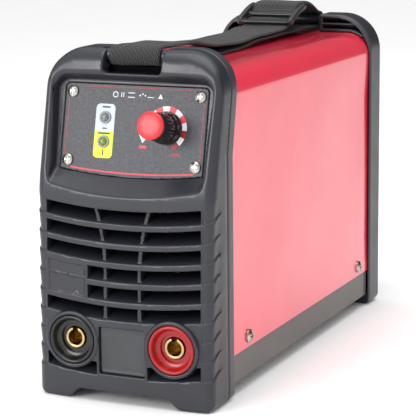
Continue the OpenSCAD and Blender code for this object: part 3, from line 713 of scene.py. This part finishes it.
def cut_socket_bay(solid, x, y, z):
    """Raised collars and seats for the two sockets, and the seat of the blank plate."""
    ax = np.abs(x)
    ring = np.hypot(ax - SOCKET.x, z - SOCKET.z)
    collar = meet(meet(ring - COLLAR_R, COLLAR_Y - y, 1.0), y - 20, 0.3)
    solid = join(solid, collar, 0.8)
    solid = cut(solid, np.maximum(ring - RING_R, y - RING_DEPTH), 0.8)
    solid = np.maximum(solid, 12.6 - ring)
    plate = meet(corner_box(ax - 15.2, np.abs(z - PLATE_Z) - 14.4, 0.8), y - PLATE_SEAT)
    return cut(solid, plate, 0.7)


def cut_panel_seat(solid, x, y, z):
    """Pocket for the panel plate, and the opening behind it."""
    depth, up = panel_coords(y, z)
    ax = np.abs(x)
    edge = PANEL_HALF + PANEL_GAP
    rim = corner_box(ax - edge, up - PANEL_TOP - PANEL_GAP, PANEL_R)
    rim = np.maximum(rim, panel_edge(x) - PANEL_GAP - up)
    solid = cut(solid, all_of(rim, depth - PANEL_T - 0.15, -3 - depth), 0.6)
    return np.maximum(solid, -all_of(depth - 12, 1.9 - depth, ax - 39, np.abs(up) - 19))


def front_field(x, y, z):
    """The moulded front frame, in millimetres behind its foremost line."""
    outer = front_outer(x, y, z)
    seam = seam_dist(y, z)
    solid = cut(outer, inner_air(x, y, z, outer), 0.3)
    solid = cut(solid, louvre_air(x, z, -outer), 0.5)
    solid = cut(solid, vent_air(x, y, z, -outer), 0.5)
    solid = cut_socket_bay(solid, x, y, z)
    solid = cut(solid, window(x, y, z), 0.8 + 2.6 * smooth(131, 142, z))
    solid = cut_panel_seat(solid, x, y, z)
    solid = cut(solid, notch_air(x, z), 1.5)
    bar_y = BAR_FRONT.y - FRONT_Y
    solid = np.maximum(solid, -bar_air(x, y - bar_y, z - BAR_FRONT.z))
    bridge = all_of(np.abs(x) - 20, SEAM - 7.5 - y, y - SEAM - 6)
    solid = np.minimum(solid, meet(bridge, np.abs(z - 197.0) - 4.6, 0.5))
    pocket = np.maximum(SEAM - 4.5 - y, cover_dist(x, z) - COVER_GAP)
    solid = np.maximum(solid, -pocket)
    solid = cut(solid, channel_air(x, z, -8 - seam), 0.4)
    return meet(solid, seam, 0.9)


def front_tone(x, y, z):
    """Lighter band behind the groove at the seam; painted shade deep in the openings and in the strap
    notch.
    """
    band = 0.42 * smooth(-8.1, -7.1, seam_dist(y, z))
    ax = np.abs(x)
    inside = (z < LIP_Z - 4) * (z > 8) * (y < SEAM - 6)
    deep = 0.75 * smooth(0.8, 9.0, -front_outer(x, y, z)) * inside
    # Painted shade in the strap notch: near-black under the strap.
    deep = np.maximum(deep, (ax < 19.0) * (z > 197.0) * smooth(SEAM - 12, SEAM - 8, y))
    collar = np.hypot(ax - SOCKET.x, z - SOCKET.z) < COLLAR_R + 0.5
    return np.where(collar, band, band - deep)


def build_front_frame():
    place = Matrix.Translation((0, FRONT_Y, 0))
    lo, hi = (-HALF_W, 0, 0), (HALF_W, FRONT_HI.y - FRONT_Y, BODY_H)
    look = (CHARCOAL, "charcoal_plastic")
    carve("front_housing", front_field, lo, hi, 0.7, look, place, "front_frame", tone=front_tone)


# --- rear frame ---

REAR_DEPTH = REAR_HI.y - REAR_LO.y
FAN_HOLE_R = 43.5
FAN_SCREW = 41.0
SWITCH_HALF = (10.7, 14.2)
GLAND_R = 8.1
VENT_Z = 23.75
VENT_PITCH = 7.0


def cut_rear_plate(solid, x, y, z):
    """Openings for the fan, its screws, the switch, the gland and the low vents."""
    ax = np.abs(x)
    dz = np.abs(z - FAN.z)
    solid = cut(solid, np.hypot(x, z - FAN.z) - FAN_HOLE_R, 0.6)
    solid = np.maximum(solid, 2.2 - np.hypot(ax - FAN_SCREW, dz - FAN_SCREW))
    switch_z = np.abs(z - SWITCH.z) - SWITCH_HALF[1]
    solid = np.maximum(solid, -np.maximum(np.abs(x - SWITCH.x) - SWITCH_HALF[0], switch_z))
    gland = np.hypot(x - GLAND.x, z - GLAND.z) - GLAND_R
    solid = np.maximum(solid, -np.maximum(gland, -20 - y))
    row = np.clip(np.round((z - VENT_Z) / VENT_PITCH), 0, 3)
    vents = corner_box(ax - 36, np.abs(z - VENT_Z - VENT_PITCH * row) - 1.75, 1.7)
    return cut(solid, vents, 0.4)


def rear_field(x, y, z):
    """The moulded rear frame; y counts from its rear rim, forwards being negative."""
    shell = outline(x, z)
    solid = meet(meet(shell, y, 2.2), -REAR_DEPTH - y, 2.2)
    solid = cut(solid, foot_gap(x, z), 1.2)
    hollow = all_of(shell + 3, y + 6, z - COVER_HI.z + 3, 10 - z)
    solid = np.maximum(solid, -hollow)
    pocket = np.maximum(y + REAR_Y - COVER_HI.y - 0.3, cover_dist(x, z) - COVER_GAP)
    solid = np.maximum(solid, -pocket)
    solid = cut(solid, channel_air(x, z, y + 8), 0.4)
    solid = cut(solid, np.maximum(shell + 4, -3 - y), 0.8)
    solid = cut(solid, notch_air(x, z), 1.5)
    solid = np.maximum(solid, -bar_air(x, y + REAR_Y - BAR_REAR.y, z - BAR_REAR.z))
    bridge = all_of(np.abs(x) - 20, -17.5 - y, y + 5.5)
    solid = np.minimum(solid, meet(bridge, np.abs(z - 197.6) - 4.9, 0.5))
    return cut_rear_plate(solid, x, y, z)


def rear_rim_highlight(x, y, z):
    """Painted highlight along the rounded rim, lighter where the edge catches the light."""
    rim = smooth(-3.5, -0.5, outline(x, z)) * (1 - smooth(-19.5, -17.0, y))
    return 0.25 * rim


def build_rear_frame():
    place = Matrix.Translation((0, REAR_Y, 0))
    lo, hi = (-HALF_W, -REAR_DEPTH, 0), (HALF_W, 0, BODY_H)
    look = (CHARCOAL, "charcoal_plastic")
    carve("rear_housing", rear_field, lo, hi, 0.8, look, place, "rear_frame", tone=rear_rim_highlight)


# --- cover and tray ---

SHEET = 1.2


def cover_profile(grow):
    """Front-view line of the cover's outside, from the lower left edge over the top."""
    w = COVER_HI.x + grow
    top = COVER_HI.z + grow
    r = COVER_R + grow
    side = np.linspace(COVER_LO.z, top - r, 20)
    right = [(w, z) for z in side]
    bend = np.linspace(0, math.pi / 2, 14)
    right += [(w - r + r * math.cos(a), top - r + r * math.sin(a)) for a in bend[1:]]
    flat = [(x, top) for x in np.linspace(w - r, -(w - r), 12)[1:-1]]
    left = [(-x, z) for x, z in right[::-1]]
    return np.array(right + flat + left)


def build_cover():
    """Folded sheet cover, with the faint waviness of thin sheet."""
    lines = [cover_profile(0), cover_profile(-SHEET)]
    count = len(lines[0])
    ys = np.linspace(COVER_LO.y, COVER_HI.y, 60)
    points = []
    for y in ys:
        for x, z in (spot for line in lines for spot in line):
            flat = smooth(0, 25, z - COVER_LO.z) * (1 - smooth(150, 182, z))
            wave = 0.35 * math.sin(y / 41.0 + z / 60.0) + 0.25 * math.sin(y / 23.0 - z / 33.0)
            push = min(0.0, wave - 0.4) * flat * (1 if x > 0 else -1) * (abs(x) > COVER_HI.x - 3)
            points.append((x + push, y, z))
    faces = []
    ring = 2 * count
    loop = list(range(count)) + list(range(ring - 1, count - 1, -1))
    for j in range(len(ys) - 1):
        for a, b in zip(loop, loop[1:] + loop[:1]):
            faces.append((j * ring + a, j * ring + b, (j + 1) * ring + b, (j + 1) * ring + a))
    for j, turn in ((0, 1), (len(ys) - 1, -1)):
        for i in range(count - 1):
            quad = [j * ring + k for k in (i, i + 1, count + i + 1, count + i)]
            faces.append(quad[::turn])
    obj = add_mesh("cover_sheet", points, faces, RED_PAINT)
    bevel = obj.modifiers.new("edge", "BEVEL")
    bevel.width = 0.35 * MM
    bevel.segments = 2
    bevel.angle_limit = math.radians(50)
    obj.modifiers.new("normals", "WEIGHTED_NORMAL").keep_sharp = True
    own(obj, "root", "top_cover")


# --- control panel ---

def panel_spot(node):
    """Where the middle of a CAD node lies on the control panel: across, depth, up."""
    return PANEL.inverted() @ middle(node)


LED_TOP = panel_spot("power_led")
LED_LOW = panel_spot("fault_led")
SCREW_X = 42.3
SCREW_UP = 20.7
PANEL_HALF = 47.4
PANEL_TOP = 26.0
PANEL_R = 3.0
PANEL_T = 1.9
PANEL_GAP = 0.1


def panel_field(x, y, z):
    """The printed plate: arched lower edge, holes for screws, dial and lamps."""
    rim = corner_box(np.abs(x) - PANEL_HALF, z - PANEL_TOP, PANEL_R)
    rim = np.maximum(rim, panel_edge(x) - z)
    solid = meet(meet(rim, -y, 0.3), y - PANEL_T, 0.1)
    screws = np.hypot(np.abs(x) - SCREW_X, np.abs(z) - SCREW_UP) - 1.9
    dial = np.hypot(x - DIAL_X, z - DIAL_RISE) - 5.1
    lamp_z = np.minimum(np.abs(z - LED_TOP.z), np.abs(z - LED_LOW.z))
    lamps = np.hypot(x - LED_TOP.x, lamp_z) - 3.1
    return cut(solid, np.minimum(np.minimum(screws, dial), lamps), 0.15)


def build_panel():
    lo, hi = (-48, 0, -30), (48, 2, 26)
    look = (PANEL_BLACK, "panel_black")
    carve("panel_plate", panel_field, lo, hi, 0.6, look, PANEL, "control_panel", adapt=0)


def stroke(path, width):
    """Outline of a line drawn along path."""
    p = np.asarray(path, float)
    t = np.gradient(p, axis=0)
    t /= np.linalg.norm(t, axis=1, keepdims=True)
    side = np.stack([-t[:, 1], t[:, 0]], 1) * width / 2
    return np.vstack([p - side, (p + side)[::-1]]).tolist()


def arc_points(x, y, r, a0, a1, n):
    """Points on an arc from a0 to a1 degrees."""
    return [(x + r * math.cos(a), y + r * math.sin(a)) for a in np.radians(np.linspace(a0, a1, n))]


def pill(x0, x1, z0, z1, low, high=None):
    """Rounded outline, with corner radius low at the bottom and high at the top."""
    high = high or low
    path = arc_points(x1 - low, z0 + low, low, -90, 0, 6)
    path += arc_points(x1 - high, z1 - high, high, 0, 90, 6)
    path += arc_points(x0 + high, z1 - high, high, 90, 180, 6)
    return path + arc_points(x0 + low, z0 + low, low, 180, 270, 6)


def add_print(name, shapes, material, lift=0.06):
    """Ink on the control panel: each shape is an outline of (across, up) points."""
    points, faces = [], []
    for shape in shapes:
        flat = np.asarray(shape)
        x, z = flat[:, 0], flat[:, 1]
        if np.sum(x * np.roll(z, -1) - np.roll(x, -1) * z) < 0:
            flat = flat[::-1]
        start, n = len(points), len(flat)
        for depth in (-lift, 0.02):
            points += [PANEL @ Vector((x, depth, z)) for x, z in flat]
        faces.append(tuple(range(start, start + n)))
        faces.append(tuple(range(start + 2 * n - 1, start + n - 1, -1)))
        for i in range(n):
            j = (i + 1) % n
            faces.append((start + j, start + i, start + n + i, start + n + j))
    own(add_mesh(name, points, faces, material, flat=True), "root")


def lower_line(x):
    """Height of the red line above the panel's arched lower edge."""
    return -27.0 + 2.3 * (x / SCREW_X) ** 2


def build_border():
    xs = np.linspace(-40.5, 41.5, 30)
    add_print("print_line", [stroke([(x, lower_line(x)) for x in xs], 0.85)], RED_INK)
    left = [(-44.8 + 0.02 * z, z) for z in np.linspace(-17.5, 16.5, 12)]
    top = [(x, 24.3) for x in np.linspace(-37, 38, 20)]
    right = [(44.9, z) for z in np.linspace(-17.5, 16.5, 12)]
    add_print("print_border", [stroke(side, 0.5) for side in (left, top, right)], DARK_RED_INK)


SQUARE = 0.01
LABEL_R = 2.6


def build_label():
    """Two-colour lamp label with small plain marks."""
    mid = LED_TOP.x
    x0, x1 = mid - 6.5, mid + 6.2
    split = (LED_TOP.z + LED_LOW.z) / 2 - 0.7
    add_print("label_pale", [pill(x0, x1, split, 14.0, SQUARE, LABEL_R)], PALE_INK)
    add_print("label_lime", [pill(x0, x1, -18.6, split, LABEL_R, SQUARE)], LIME_INK)
    marks = [
        pill(mid - 2.6, mid + 2.8, 11.6, 12.6, 0.4),
        pill(mid - 1.6, mid + 1.6, split + 1.2, split + 2.0, 0.3),
        pill(mid - 4.2, mid + 3.8, split - 1.9, split - 0.9, 0.4),
        pill(mid - 0.35, mid + 0.35, -17.0, -13.34, 0.3),
    ]
    add_print("label_marks", marks, BLACK_INK, lift=0.10)


SCALE_IN = 10.4
SCALE_OUT = 13.4
SCALE_BLOCKS = 13
SCALE_STEP = 21.5
SCALE_START = 201.5


def build_scale():
    """Dial scale: alternating blocks round the knob, with plain end marks."""
    groups = {"scale_white": [], "scale_red": [], "scale_dark": []}
    for i in range(SCALE_BLOCKS):
        mid = SCALE_START - i * SCALE_STEP
        a, b = mid - SCALE_STEP / 2, mid + SCALE_STEP / 2
        near = arc_points(DIAL_X, DIAL_RISE, SCALE_IN, b, a, 8)
        far = arc_points(DIAL_X, DIAL_RISE, SCALE_OUT, a, b, 8)
        name = "scale_white" if i % 2 else "scale_red"
        if i >= 10 and i % 2 == 0:
            name = "scale_dark"
        groups[name].append(near + far)
    tip = DIAL_X - 14.8
    groups["scale_white"].append([(tip - 2.6, -3.4), (tip + 3.4, -4.2), (tip, -8.2)])
    groups["scale_red"].append(pill(tip - 1.9, tip + 2.7, -11.4, -9.6, 0.5))
    groups["scale_dark"].append(pill(26.4, 31.4, -14.8, -13.2, 0.5))
    for shapes, ink_used in zip(groups.items(), (WHITE_INK, RED_INK, DARK_RED_INK)):
        add_print(*shapes, ink_used)


MARKS_UP = 19.9
MARK_W = 0.5


def build_marks():
    """Row of small plain marks near the panel's top edge."""
    z = MARKS_UP
    shapes = [stroke(arc_points(-13.6, z, 1.6, 0, 350, 16), MARK_W)]
    shapes += [stroke([(x, z - 1.4), (x, z + 1.4)], MARK_W) for x in (-9.6, -8.2)]
    shapes += [stroke([(-5.4, z + up), (-0.8, z + up)], MARK_W) for up in (-1.3, 1.3)]
    for i in range(3):
        left, low = 2.2 + 1.7 * i, z - 0.5 + 0.9 * (i % 2)
        shapes.append(pill(left, left + 1.0, low, low + 1.0, 0.49))
    shapes.append(stroke([(7.6, z - 0.9), (11.8, z - 0.9)], 0.45))
    shapes.append([(14.6, z - 1.4), (17.8, z - 1.4), (16.2, z + 1.5)])
    add_print("print_marks", shapes, WHITE_INK)


# --- turned parts ---

def turned(name, profile, material, place, steps=72):
    """Solid of revolution about -Y. The profile is a closed list of (radius, y) points."""
    points = []
    for i in range(steps):
        a = TURN * i / steps
        for r, y in ((max(r, 0.02), y) for r, y in profile):
            points.append(place @ Vector((r * math.cos(a), y, r * math.sin(a))))
    faces = tube_faces(steps, len(profile), closed=True)
    area = sum(a[0] * b[1] - b[0] * a[1] for a, b in zip(profile, profile[1:] + profile[:1]))
    if area > 0:
        faces = [face[::-1] for face in faces]
    obj = add_mesh(name, points, faces, material)
    obj.data.set_sharp_from_angle(angle=math.radians(38))
    return obj


KNOB_BASE = 2.0
KNOB_LEN = 18.0
KNOB_R = 9.5
FLUTES = 18


def knob_field(x, y, z):
    """Fluted knob round its own axis; it stands out along -y."""
    h = -KNOB_BASE - y
    r = np.hypot(x, z)
    shape = np.interp(h, (0, 2.6, 3.8, 4.6, 17, 18), (KNOB_R, KNOB_R, 9.1, 8.8, 8.3, 8.0))
    lobes = np.cos(FLUTES * np.arctan2(z, x))
    groove = 0.3 * smooth(0.1, 1.0, lobes) * smooth(3.9, 5.2, h) * (1 - smooth(16.0, 17.2, h))
    solid = meet(meet((r - shape) * 0.9 + groove, -h, 0.3), h - KNOB_LEN, 0.7)
    return np.maximum(solid, 3.02 - r)


def build_knob():
    place = PANEL @ Matrix.Translation((DIAL_X, 0, DIAL_RISE))
    lo, hi = (-10, -21, -10), (10, -1, 10)
    look = (KNOB_BLACK, "knob_black")
    carve("knob_body", knob_field, lo, hi, 0.4, look, place, "current_knob", "knob")
    base = -KNOB_BASE - KNOB_LEN - 0.02
    side = [(0, 0), (7.4, 0), (7.9, 0.25), (8.3, 0.8), (8.45, 1.5), (8.3, 2.1)]
    top = [(7.8, 2.55), (7.1, 2.8), (5.5, 3.05), (3.0, 3.2), (0, 3.25)]
    profile = [(r, base - h) for r, h in side + top]
    own(turned("knob_dome", profile, KNOB_RED, place), "knob", "knob_cap")


def socket_place(side):
    """Where a socket's axis meets the foremost line: side is -1 or 1."""
    return Matrix.Translation((side * SOCKET.x, FRONT_Y, SOCKET.z))


def build_sockets():
    """Insulating rings, with a rolled lip and a dished face round the contact."""
    profile = [(7.1, 6.5), (7.1, 25.0), (12.4, 25.0), (12.4, 9.1), (15.0, 9.1), (15.0, 1.5)]
    profile += [(14.85, 0.8), (14.45, 0.25), (13.9, 0.0), (13.3, 0.1), (12.9, 0.5), (12.5, 1.4)]
    profile += [(11.9, 3.6), (11.4, 4.3), (10.6, 4.7), (9.2, 5.0), (9.1, 6.5)]
    black = (-1, "negative_socket", "socket_black", SOCKET_BLACK)
    red = (1, "positive_socket", "socket_red", SOCKET_RED)
    for side, node, slot, paint in (black, red):
        own(turned("ring_" + node, profile, paint, socket_place(side)), "root", node)


BRASS_R = 6.5
BRASS_Y = 5.0
BRASS_LEN = 34.0
TAIL_R = 4.0
TAIL_LEN = 44.0
BORE_R = 4.6


def contact_field(x, y, z):
    """Brass contact: chamfered pin bore, key slot at the top, threaded tail."""
    r = np.hypot(x, z)
    back = y - BRASS_Y
    round_end = np.hypot(np.maximum(r - TAIL_R, 0), np.maximum(back - TAIL_LEN + 0.1, 0)) - 0.05
    tail = round_end + np.minimum(np.maximum(r - TAIL_R, back - TAIL_LEN), 0)
    body = meet(meet(r - BRASS_R, -back, 0.5), back - BRASS_LEN, 0.4)
    solid = np.minimum(body, tail + 0.12 * np.cos(y * 5.0) * (back > BRASS_LEN + 1))
    solid = np.maximum(solid, -back)
    bore = meet(r - BORE_R, back - 24)
    key = all_of(np.abs(x) - 1.6, -z, z - 6.1, back - 11)
    return cut(cut(solid, bore, 0.5), key, 0.25)


def build_contacts():
    lo, hi = (-7, BRASS_Y, -7), (7, BRASS_Y + TAIL_LEN, 7)
    for side, node in ((-1, "negative_contact"), (1, "positive_contact")):
        look = (BRASS, "brass")
        carve("brass_" + node, contact_field, lo, hi, 0.45, look, socket_place(side), node)


def plate_field(x, y, z):
    """Blank plate with a soft edge and a shallow dish."""
    rim = corner_box(np.abs(x) - 15, np.abs(z - PLATE_Z) - 14.2, 1.2)
    dish = 0.35 * smooth(0.8, 2.2, -rim)
    return meet(meet(rim, 3.4 - y + dish, 0.5), y - 4.9, 0.1)


def build_plate():
    place = Matrix.Translation((0, FRONT_Y, 0))
    look = (BLANK_GREY, "charcoal_plastic")
    carve("plate_cover", plate_field, (-15, 3, 18), (15, 5, 47), 0.45, look, place, "blank_plate")


# --- carry strap ---

STRAP_W = 33.5
STRAP_T = 1.8
LOOP_MID = 5.0


def curve_through(points, step=1.6):
    """Even points along a smooth line through the given (y, z) points."""
    p = np.asarray(points, float)
    p = np.vstack([2 * p[0] - p[1], p, 2 * p[-1] - p[-2]])
    out = []
    for i in range(1, len(p) - 2):
        t = np.linspace(0, 1, 24, endpoint=False)[:, None]
        a, b, c, d = p[i - 1:i + 3]
        square, cube = 2 * a - 5 * b + 4 * c - d, 3 * b - a - 3 * c + d
        out.append(0.5 * (2 * b + (c - a) * t + square * t ** 2 + cube * t ** 3))
    line = np.vstack(out + [p[-2:-1]])
    length = np.concatenate([[0], np.cumsum(np.linalg.norm(np.diff(line, axis=0), axis=1))])
    even = np.linspace(0, length[-1], max(3, int(length[-1] / step)))
    return np.stack([np.interp(even, length, line[:, k]) for k in (0, 1)], 1), even


def webbing_section():
    """Cross-section of the webbing, with rolled edges."""
    half = STRAP_W / 2
    lanes = np.linspace(-half + 1.0, half - 1.0, 17)
    up = [(a, STRAP_T / 2) for a in lanes]
    edge = [(half - 0.45, STRAP_T * 0.42), (half, 0.0), (half - 0.45, -STRAP_T * 0.42)]
    down = [(a, -STRAP_T / 2) for a in lanes[::-1]]
    return np.array(up + edge + down + [(-a, b) for a, b in edge[::-1]])


def ribbon(name, points, material, shift=0.0, ripple=0.0):
    """Webbing along a line in its middle surface, with a slight ripple and a mapped weave."""
    line, along = curve_through(points)
    t = np.gradient(line, axis=0)
    t /= np.linalg.norm(t, axis=1, keepdims=True)
    normal = np.stack([-t[:, 1], t[:, 0]], 1)
    half = STRAP_W / 2
    section = webbing_section()
    n = len(section)
    verts = []
    for i, (y, z) in enumerate(line):
        end = min(1.0, min(i, len(line) - 1 - i) / 8)
        for a, b in section:
            twist = ripple * (a / half) * math.sin(along[i] / 19.0)
            q = b + end * (twist + 0.22 * math.sin(along[i] / 7.3 + a / 6.0))
            verts.append((a + shift * end, y + normal[i, 0] * q, z + normal[i, 1] * q))
    faces = tube_faces(len(line), n)
    faces += [tuple(range(n)), tuple(range((len(line) - 1) * n, len(line) * n))[::-1]]
    spots = [(u, v) for u in along for v in section[:, 0]]
    uvs = [spots[i] for face in faces for i in face]
    obj = add_mesh(name, verts, faces, material)
    layer = obj.data.uv_layers.new(name="ribbon")
    layer.data.foreach_set("uv", np.array(uvs, np.float32).ravel())
    return obj


BUCKLE_Y = 44.0
BUCKLE_Z = 209.8
BUCKLE_TILT = math.radians(19)
BUCKLE_L = 30.0


def on_buckle(along, up):
    """A point of the strap's line, given along and above the tilted buckle."""
    c, s = math.cos(BUCKLE_TILT), math.sin(BUCKLE_TILT)
    return (BUCKLE_Y + along * c - up * s, BUCKLE_Z + along * s + up * c)


def build_front_turn(y, z):
    """Webbing round the front bar, whose middle is at y, z."""
    path = [(y + 22, z - 1.6), (y + 12, z - 4.6), (y + 3, z - LOOP_MID)]
    path += arc_points(y, z, LOOP_MID, 270, 90, 9)
    path += [(y + 5, z + LOOP_MID), (y + 11, z + LOOP_MID)]
    own(ribbon("strap_front_turn", path, WEBBING), "root", "strap_front_loop")


def build_top_front(y, z):
    """Upper webbing from the front bar into the buckle."""
    path = [(y + 10, z + LOOP_MID - 0.1), (y + 41, z + 3.9), (y + 60, 209.0), (y + 84, 206.3)]
    path += [(y + 112, 205.2), (y + 132, 205.2), (y + 152, 205.8), (y + 174, 205.9)]
    path += [(BUCKLE_Y - 7, 206.2)]
    path += [on_buckle(*spot) for spot in ((3, -2.7), (9.5, -1.6), (15.5, -2.9), (22, -2.9), (26, -3))]
    obj = ribbon("strap_top_front", path, WEBBING, shift=0.6, ripple=0.35)
    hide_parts("strap_upper")
    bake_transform(obj)


def build_top_rear(y, z):
    """Upper webbing from the buckle, in an arch, to the rear bar."""
    path = [on_buckle(18.5, -0.4), on_buckle(22.5, 0.9), on_buckle(26.5, 2.8), (76, 222.3)]
    path += [(84, 221.8), (92, 219.9), (100, 217.0), (107, 214.0), (y, z + LOOP_MID)]
    obj = ribbon("strap_top_rear", path, WEBBING, ripple=0.2)
    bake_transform(obj)


def build_lower(y, z):
    """Webbing round the rear bar, and its free length along the cover."""
    turn = arc_points(y, z, LOOP_MID, 100, -90, 9)
    turn += [(y - 6, z - LOOP_MID), (y - 14, z - 4.4)]
    own(ribbon("strap_rear_turn", turn, WEBBING_SHADED), "root", "strap_rear_loop")
    low = [(y - 12, z - 4.5), (77, 204.2), (45, 203.6), (12, 203.2), (-9, 202.8)]
    low += [(-40, 201.0), (-58, 200.7), (-76, 200.7)]
    lower = ribbon("strap_under", low, WEBBING_SHADED, shift=0.8, ripple=0.3)
    own(lower, "root", "strap_lower")


def build_strap():
    build_front_turn(BAR_FRONT.y, BAR_FRONT.z)
    build_top_front(BAR_FRONT.y, BAR_FRONT.z)
    build_top_rear(BAR_REAR.y, BAR_REAR.z)
    build_lower(BAR_REAR.y, BAR_REAR.z)


def buckle_field(x, y, z):
    """Ladder-lock buckle, lying along y from its front bar, z above its bars."""
    ax = np.abs(x)
    arch = 1.3 * np.sin(np.clip(y / BUCKLE_L, 0, 1) * math.pi)
    span = np.abs(y - BUCKLE_L / 2) - BUCKLE_L / 2
    rail = meet(meet(np.abs(ax - 18.9) - 1.9, span, 2.0), np.abs(z - 0.6 - arch) - 2.3, 1.3)
    reach = ax - 19.0
    front = meet(meet(np.abs(y - 3.6) - 3.6, np.abs(z + 0.1 * (y - 4)) - 1.1, 0.8), reach)
    middle_bar = meet(np.hypot(y - 15.5, (z - 0.2) * 1.2) - 1.8, reach)
    rear = meet(np.hypot(y - 27.5, z) - 1.7, reach)
    rib = meet(np.hypot(y - 0.8, z - 0.9) - 0.8, reach)
    bars = np.minimum(np.minimum(front, middle_bar), np.minimum(rear, rib))
    return join(rail, bars, 1.0)


def build_buckle():
    place = Matrix.Translation((0.6, BUCKLE_Y, BUCKLE_Z)) @ Matrix.Rotation(BUCKLE_TILT, 4, "X")
    lo, hi = (-24, -1, -4), (24, BUCKLE_L + 1, 6)
    look = (BLACK_PLASTIC, "buckle_black")
    carve("ladder_buckle", buckle_field, lo, hi, 0.5, look, place, "strap_buckle", "strap")


# --- CAD nodes that keep their shape ---

FINISHES = (
    (TRAY_PAINT, "base_tray"),
    (ZINC, "panel_screws cover_screws fan_screws pot_nut pot_shaft socket_nuts pcb_standoffs"),
    (GREY_PLASTIC, "led_bezels pot_body"),
    (LENS_CLEAR, "power_led"),
    (LENS_GREEN, "fault_led"),
    (COPPER, "output_busbars"),
    (CHARCOAL, "front_strap_bar rear_strap_bar"),
    (FAN_BLACK, "fan_frame fan_rotor switch_housing cable_gland gland_nut"),
    (STEEL_WIRE, "fan_guard plug_pins"),
    (ROCKER_RED, "switch_rocker"),
    (CABLE_BLACK, "mains_cable mains_plug"),
    (BOARD, "main_pcb control_pcb"),
    (ALUMINIUM, "left_heatsink right_heatsink"),
    (COMPONENT, "power_transistors rectifier_bridge"),
    (FERRITE, "transformer_core"),
    (WINDING, "transformer_windings output_choke"),
    (SLEEVE, "filter_capacitors"),
    (RELAY, "inrush_relay"),
)


def dress_cad():
    """Give every CAD node that keeps its mesh a finish."""
    for material, names in FINISHES:
        for name in names.split():
            slots = frame["nodes"][name].data.materials
            slots.clear()
            slots.append(material)


# --- camera, light and floor ---

CAMERA_AT = Vector((460.5, FRONT_Y - 885.0, 318.2)) * MM
CAMERA_YAW = math.radians(24.43)
CAMERA_PITCH = math.radians(11.23)
CAMERA_ROLL = math.radians(-0.61)
SENSOR = 36
FOCAL_SHARE = 4.158


def add_camera():
    turn = Matrix.Rotation(CAMERA_YAW, 4, "Z") @ Matrix.Rotation(math.pi / 2 - CAMERA_PITCH, 4, "X")
    turn = turn @ Matrix.Rotation(CAMERA_ROLL, 4, "Z")
    data = bpy.data.cameras.new("view")
    data.sensor_width = SENSOR
    data.lens = SENSOR * FOCAL_SHARE
    camera = bpy.data.objects.new("view", data)
    camera.matrix_world = Matrix.Translation(CAMERA_AT) @ turn
    scene.collection.objects.link(camera)
    scene.camera = camera


def area_light(name, at, aim, size, watts):
    data = bpy.data.lights.new(name, "AREA")
    data.shape = "RECTANGLE"
    data.size, data.size_y = size
    data.energy = watts
    light = bpy.data.objects.new(name, data)
    light.location = at
    light.rotation_euler = (Vector(aim) - Vector(at)).to_track_quat("-Z", "Y").to_euler()
    scene.collection.objects.link(light)


WORLD_LIGHT = 1.0
BACK_LIGHT = 0.08
OVERHEAD_WATTS = 12
FRONT_WATTS = 15


def add_studio():
    """Soft white room with a darker end behind the machine, seen only in reflections."""
    scene.world = bpy.data.worlds.new("studio")
    scene.world.use_nodes = True
    sky = Nodes(scene.world.node_tree)
    axes = sky.add("ShaderNodeSeparateXYZ")
    sky.put(axes.inputs[0], sky.add("ShaderNodeTexCoord").outputs["Generated"])
    behind = sky.remap(axes.outputs["Y"], -0.1, 0.4, WORLD_LIGHT, BACK_LIGHT)
    around = sky.remap(axes.outputs["Z"], 0.45, 0.75, behind, WORLD_LIGHT)
    mirrored = sky.add("ShaderNodeLightPath").outputs["Is Glossy Ray"]
    back = sky.tree.nodes["Background"]
    sky.put(back.inputs["Strength"], sky.remap(mirrored, 0, 1, WORLD_LIGHT, around))
    sky.put(back.inputs["Color"], (1, 1, 1))
    area_light("overhead", (0.1, -0.2, 1.5), (0, 0, 0.1), (1.2, 1.2), OVERHEAD_WATTS)
    area_light("front", (-0.70, -1.60, 0.62), (0, -0.17, 0.16), (0.9, 0.6), FRONT_WATTS)
    scene.view_settings.view_transform = "Standard"


FLOOR_REACH = 12000


def add_floor():
    """Wide pale floor."""
    paint = Paint("floor", 0.7)
    paint.set("Base Color", paint.mix(paint.noise(60, 3), (0.95, 0.95, 0.95), (0.92, 0.92, 0.92)))
    paint.bump((paint.noise(2, 2), 0.02))
    corners = ((-1, -1, 0), (1, -1, 0), (1, 1, 0), (-1, 1, 0))
    points = np.array(corners) * FLOOR_REACH
    add_mesh("floor", points, [(0, 1, 2, 3)], paint.material)


build_front_frame()
build_rear_frame()
build_cover()
build_panel()
build_border()
build_label()
build_scale()
build_marks()
build_knob()
build_sockets()
build_contacts()
build_plate()
build_strap()
build_buckle()
dress_cad()
add_camera()
add_studio()
add_floor()
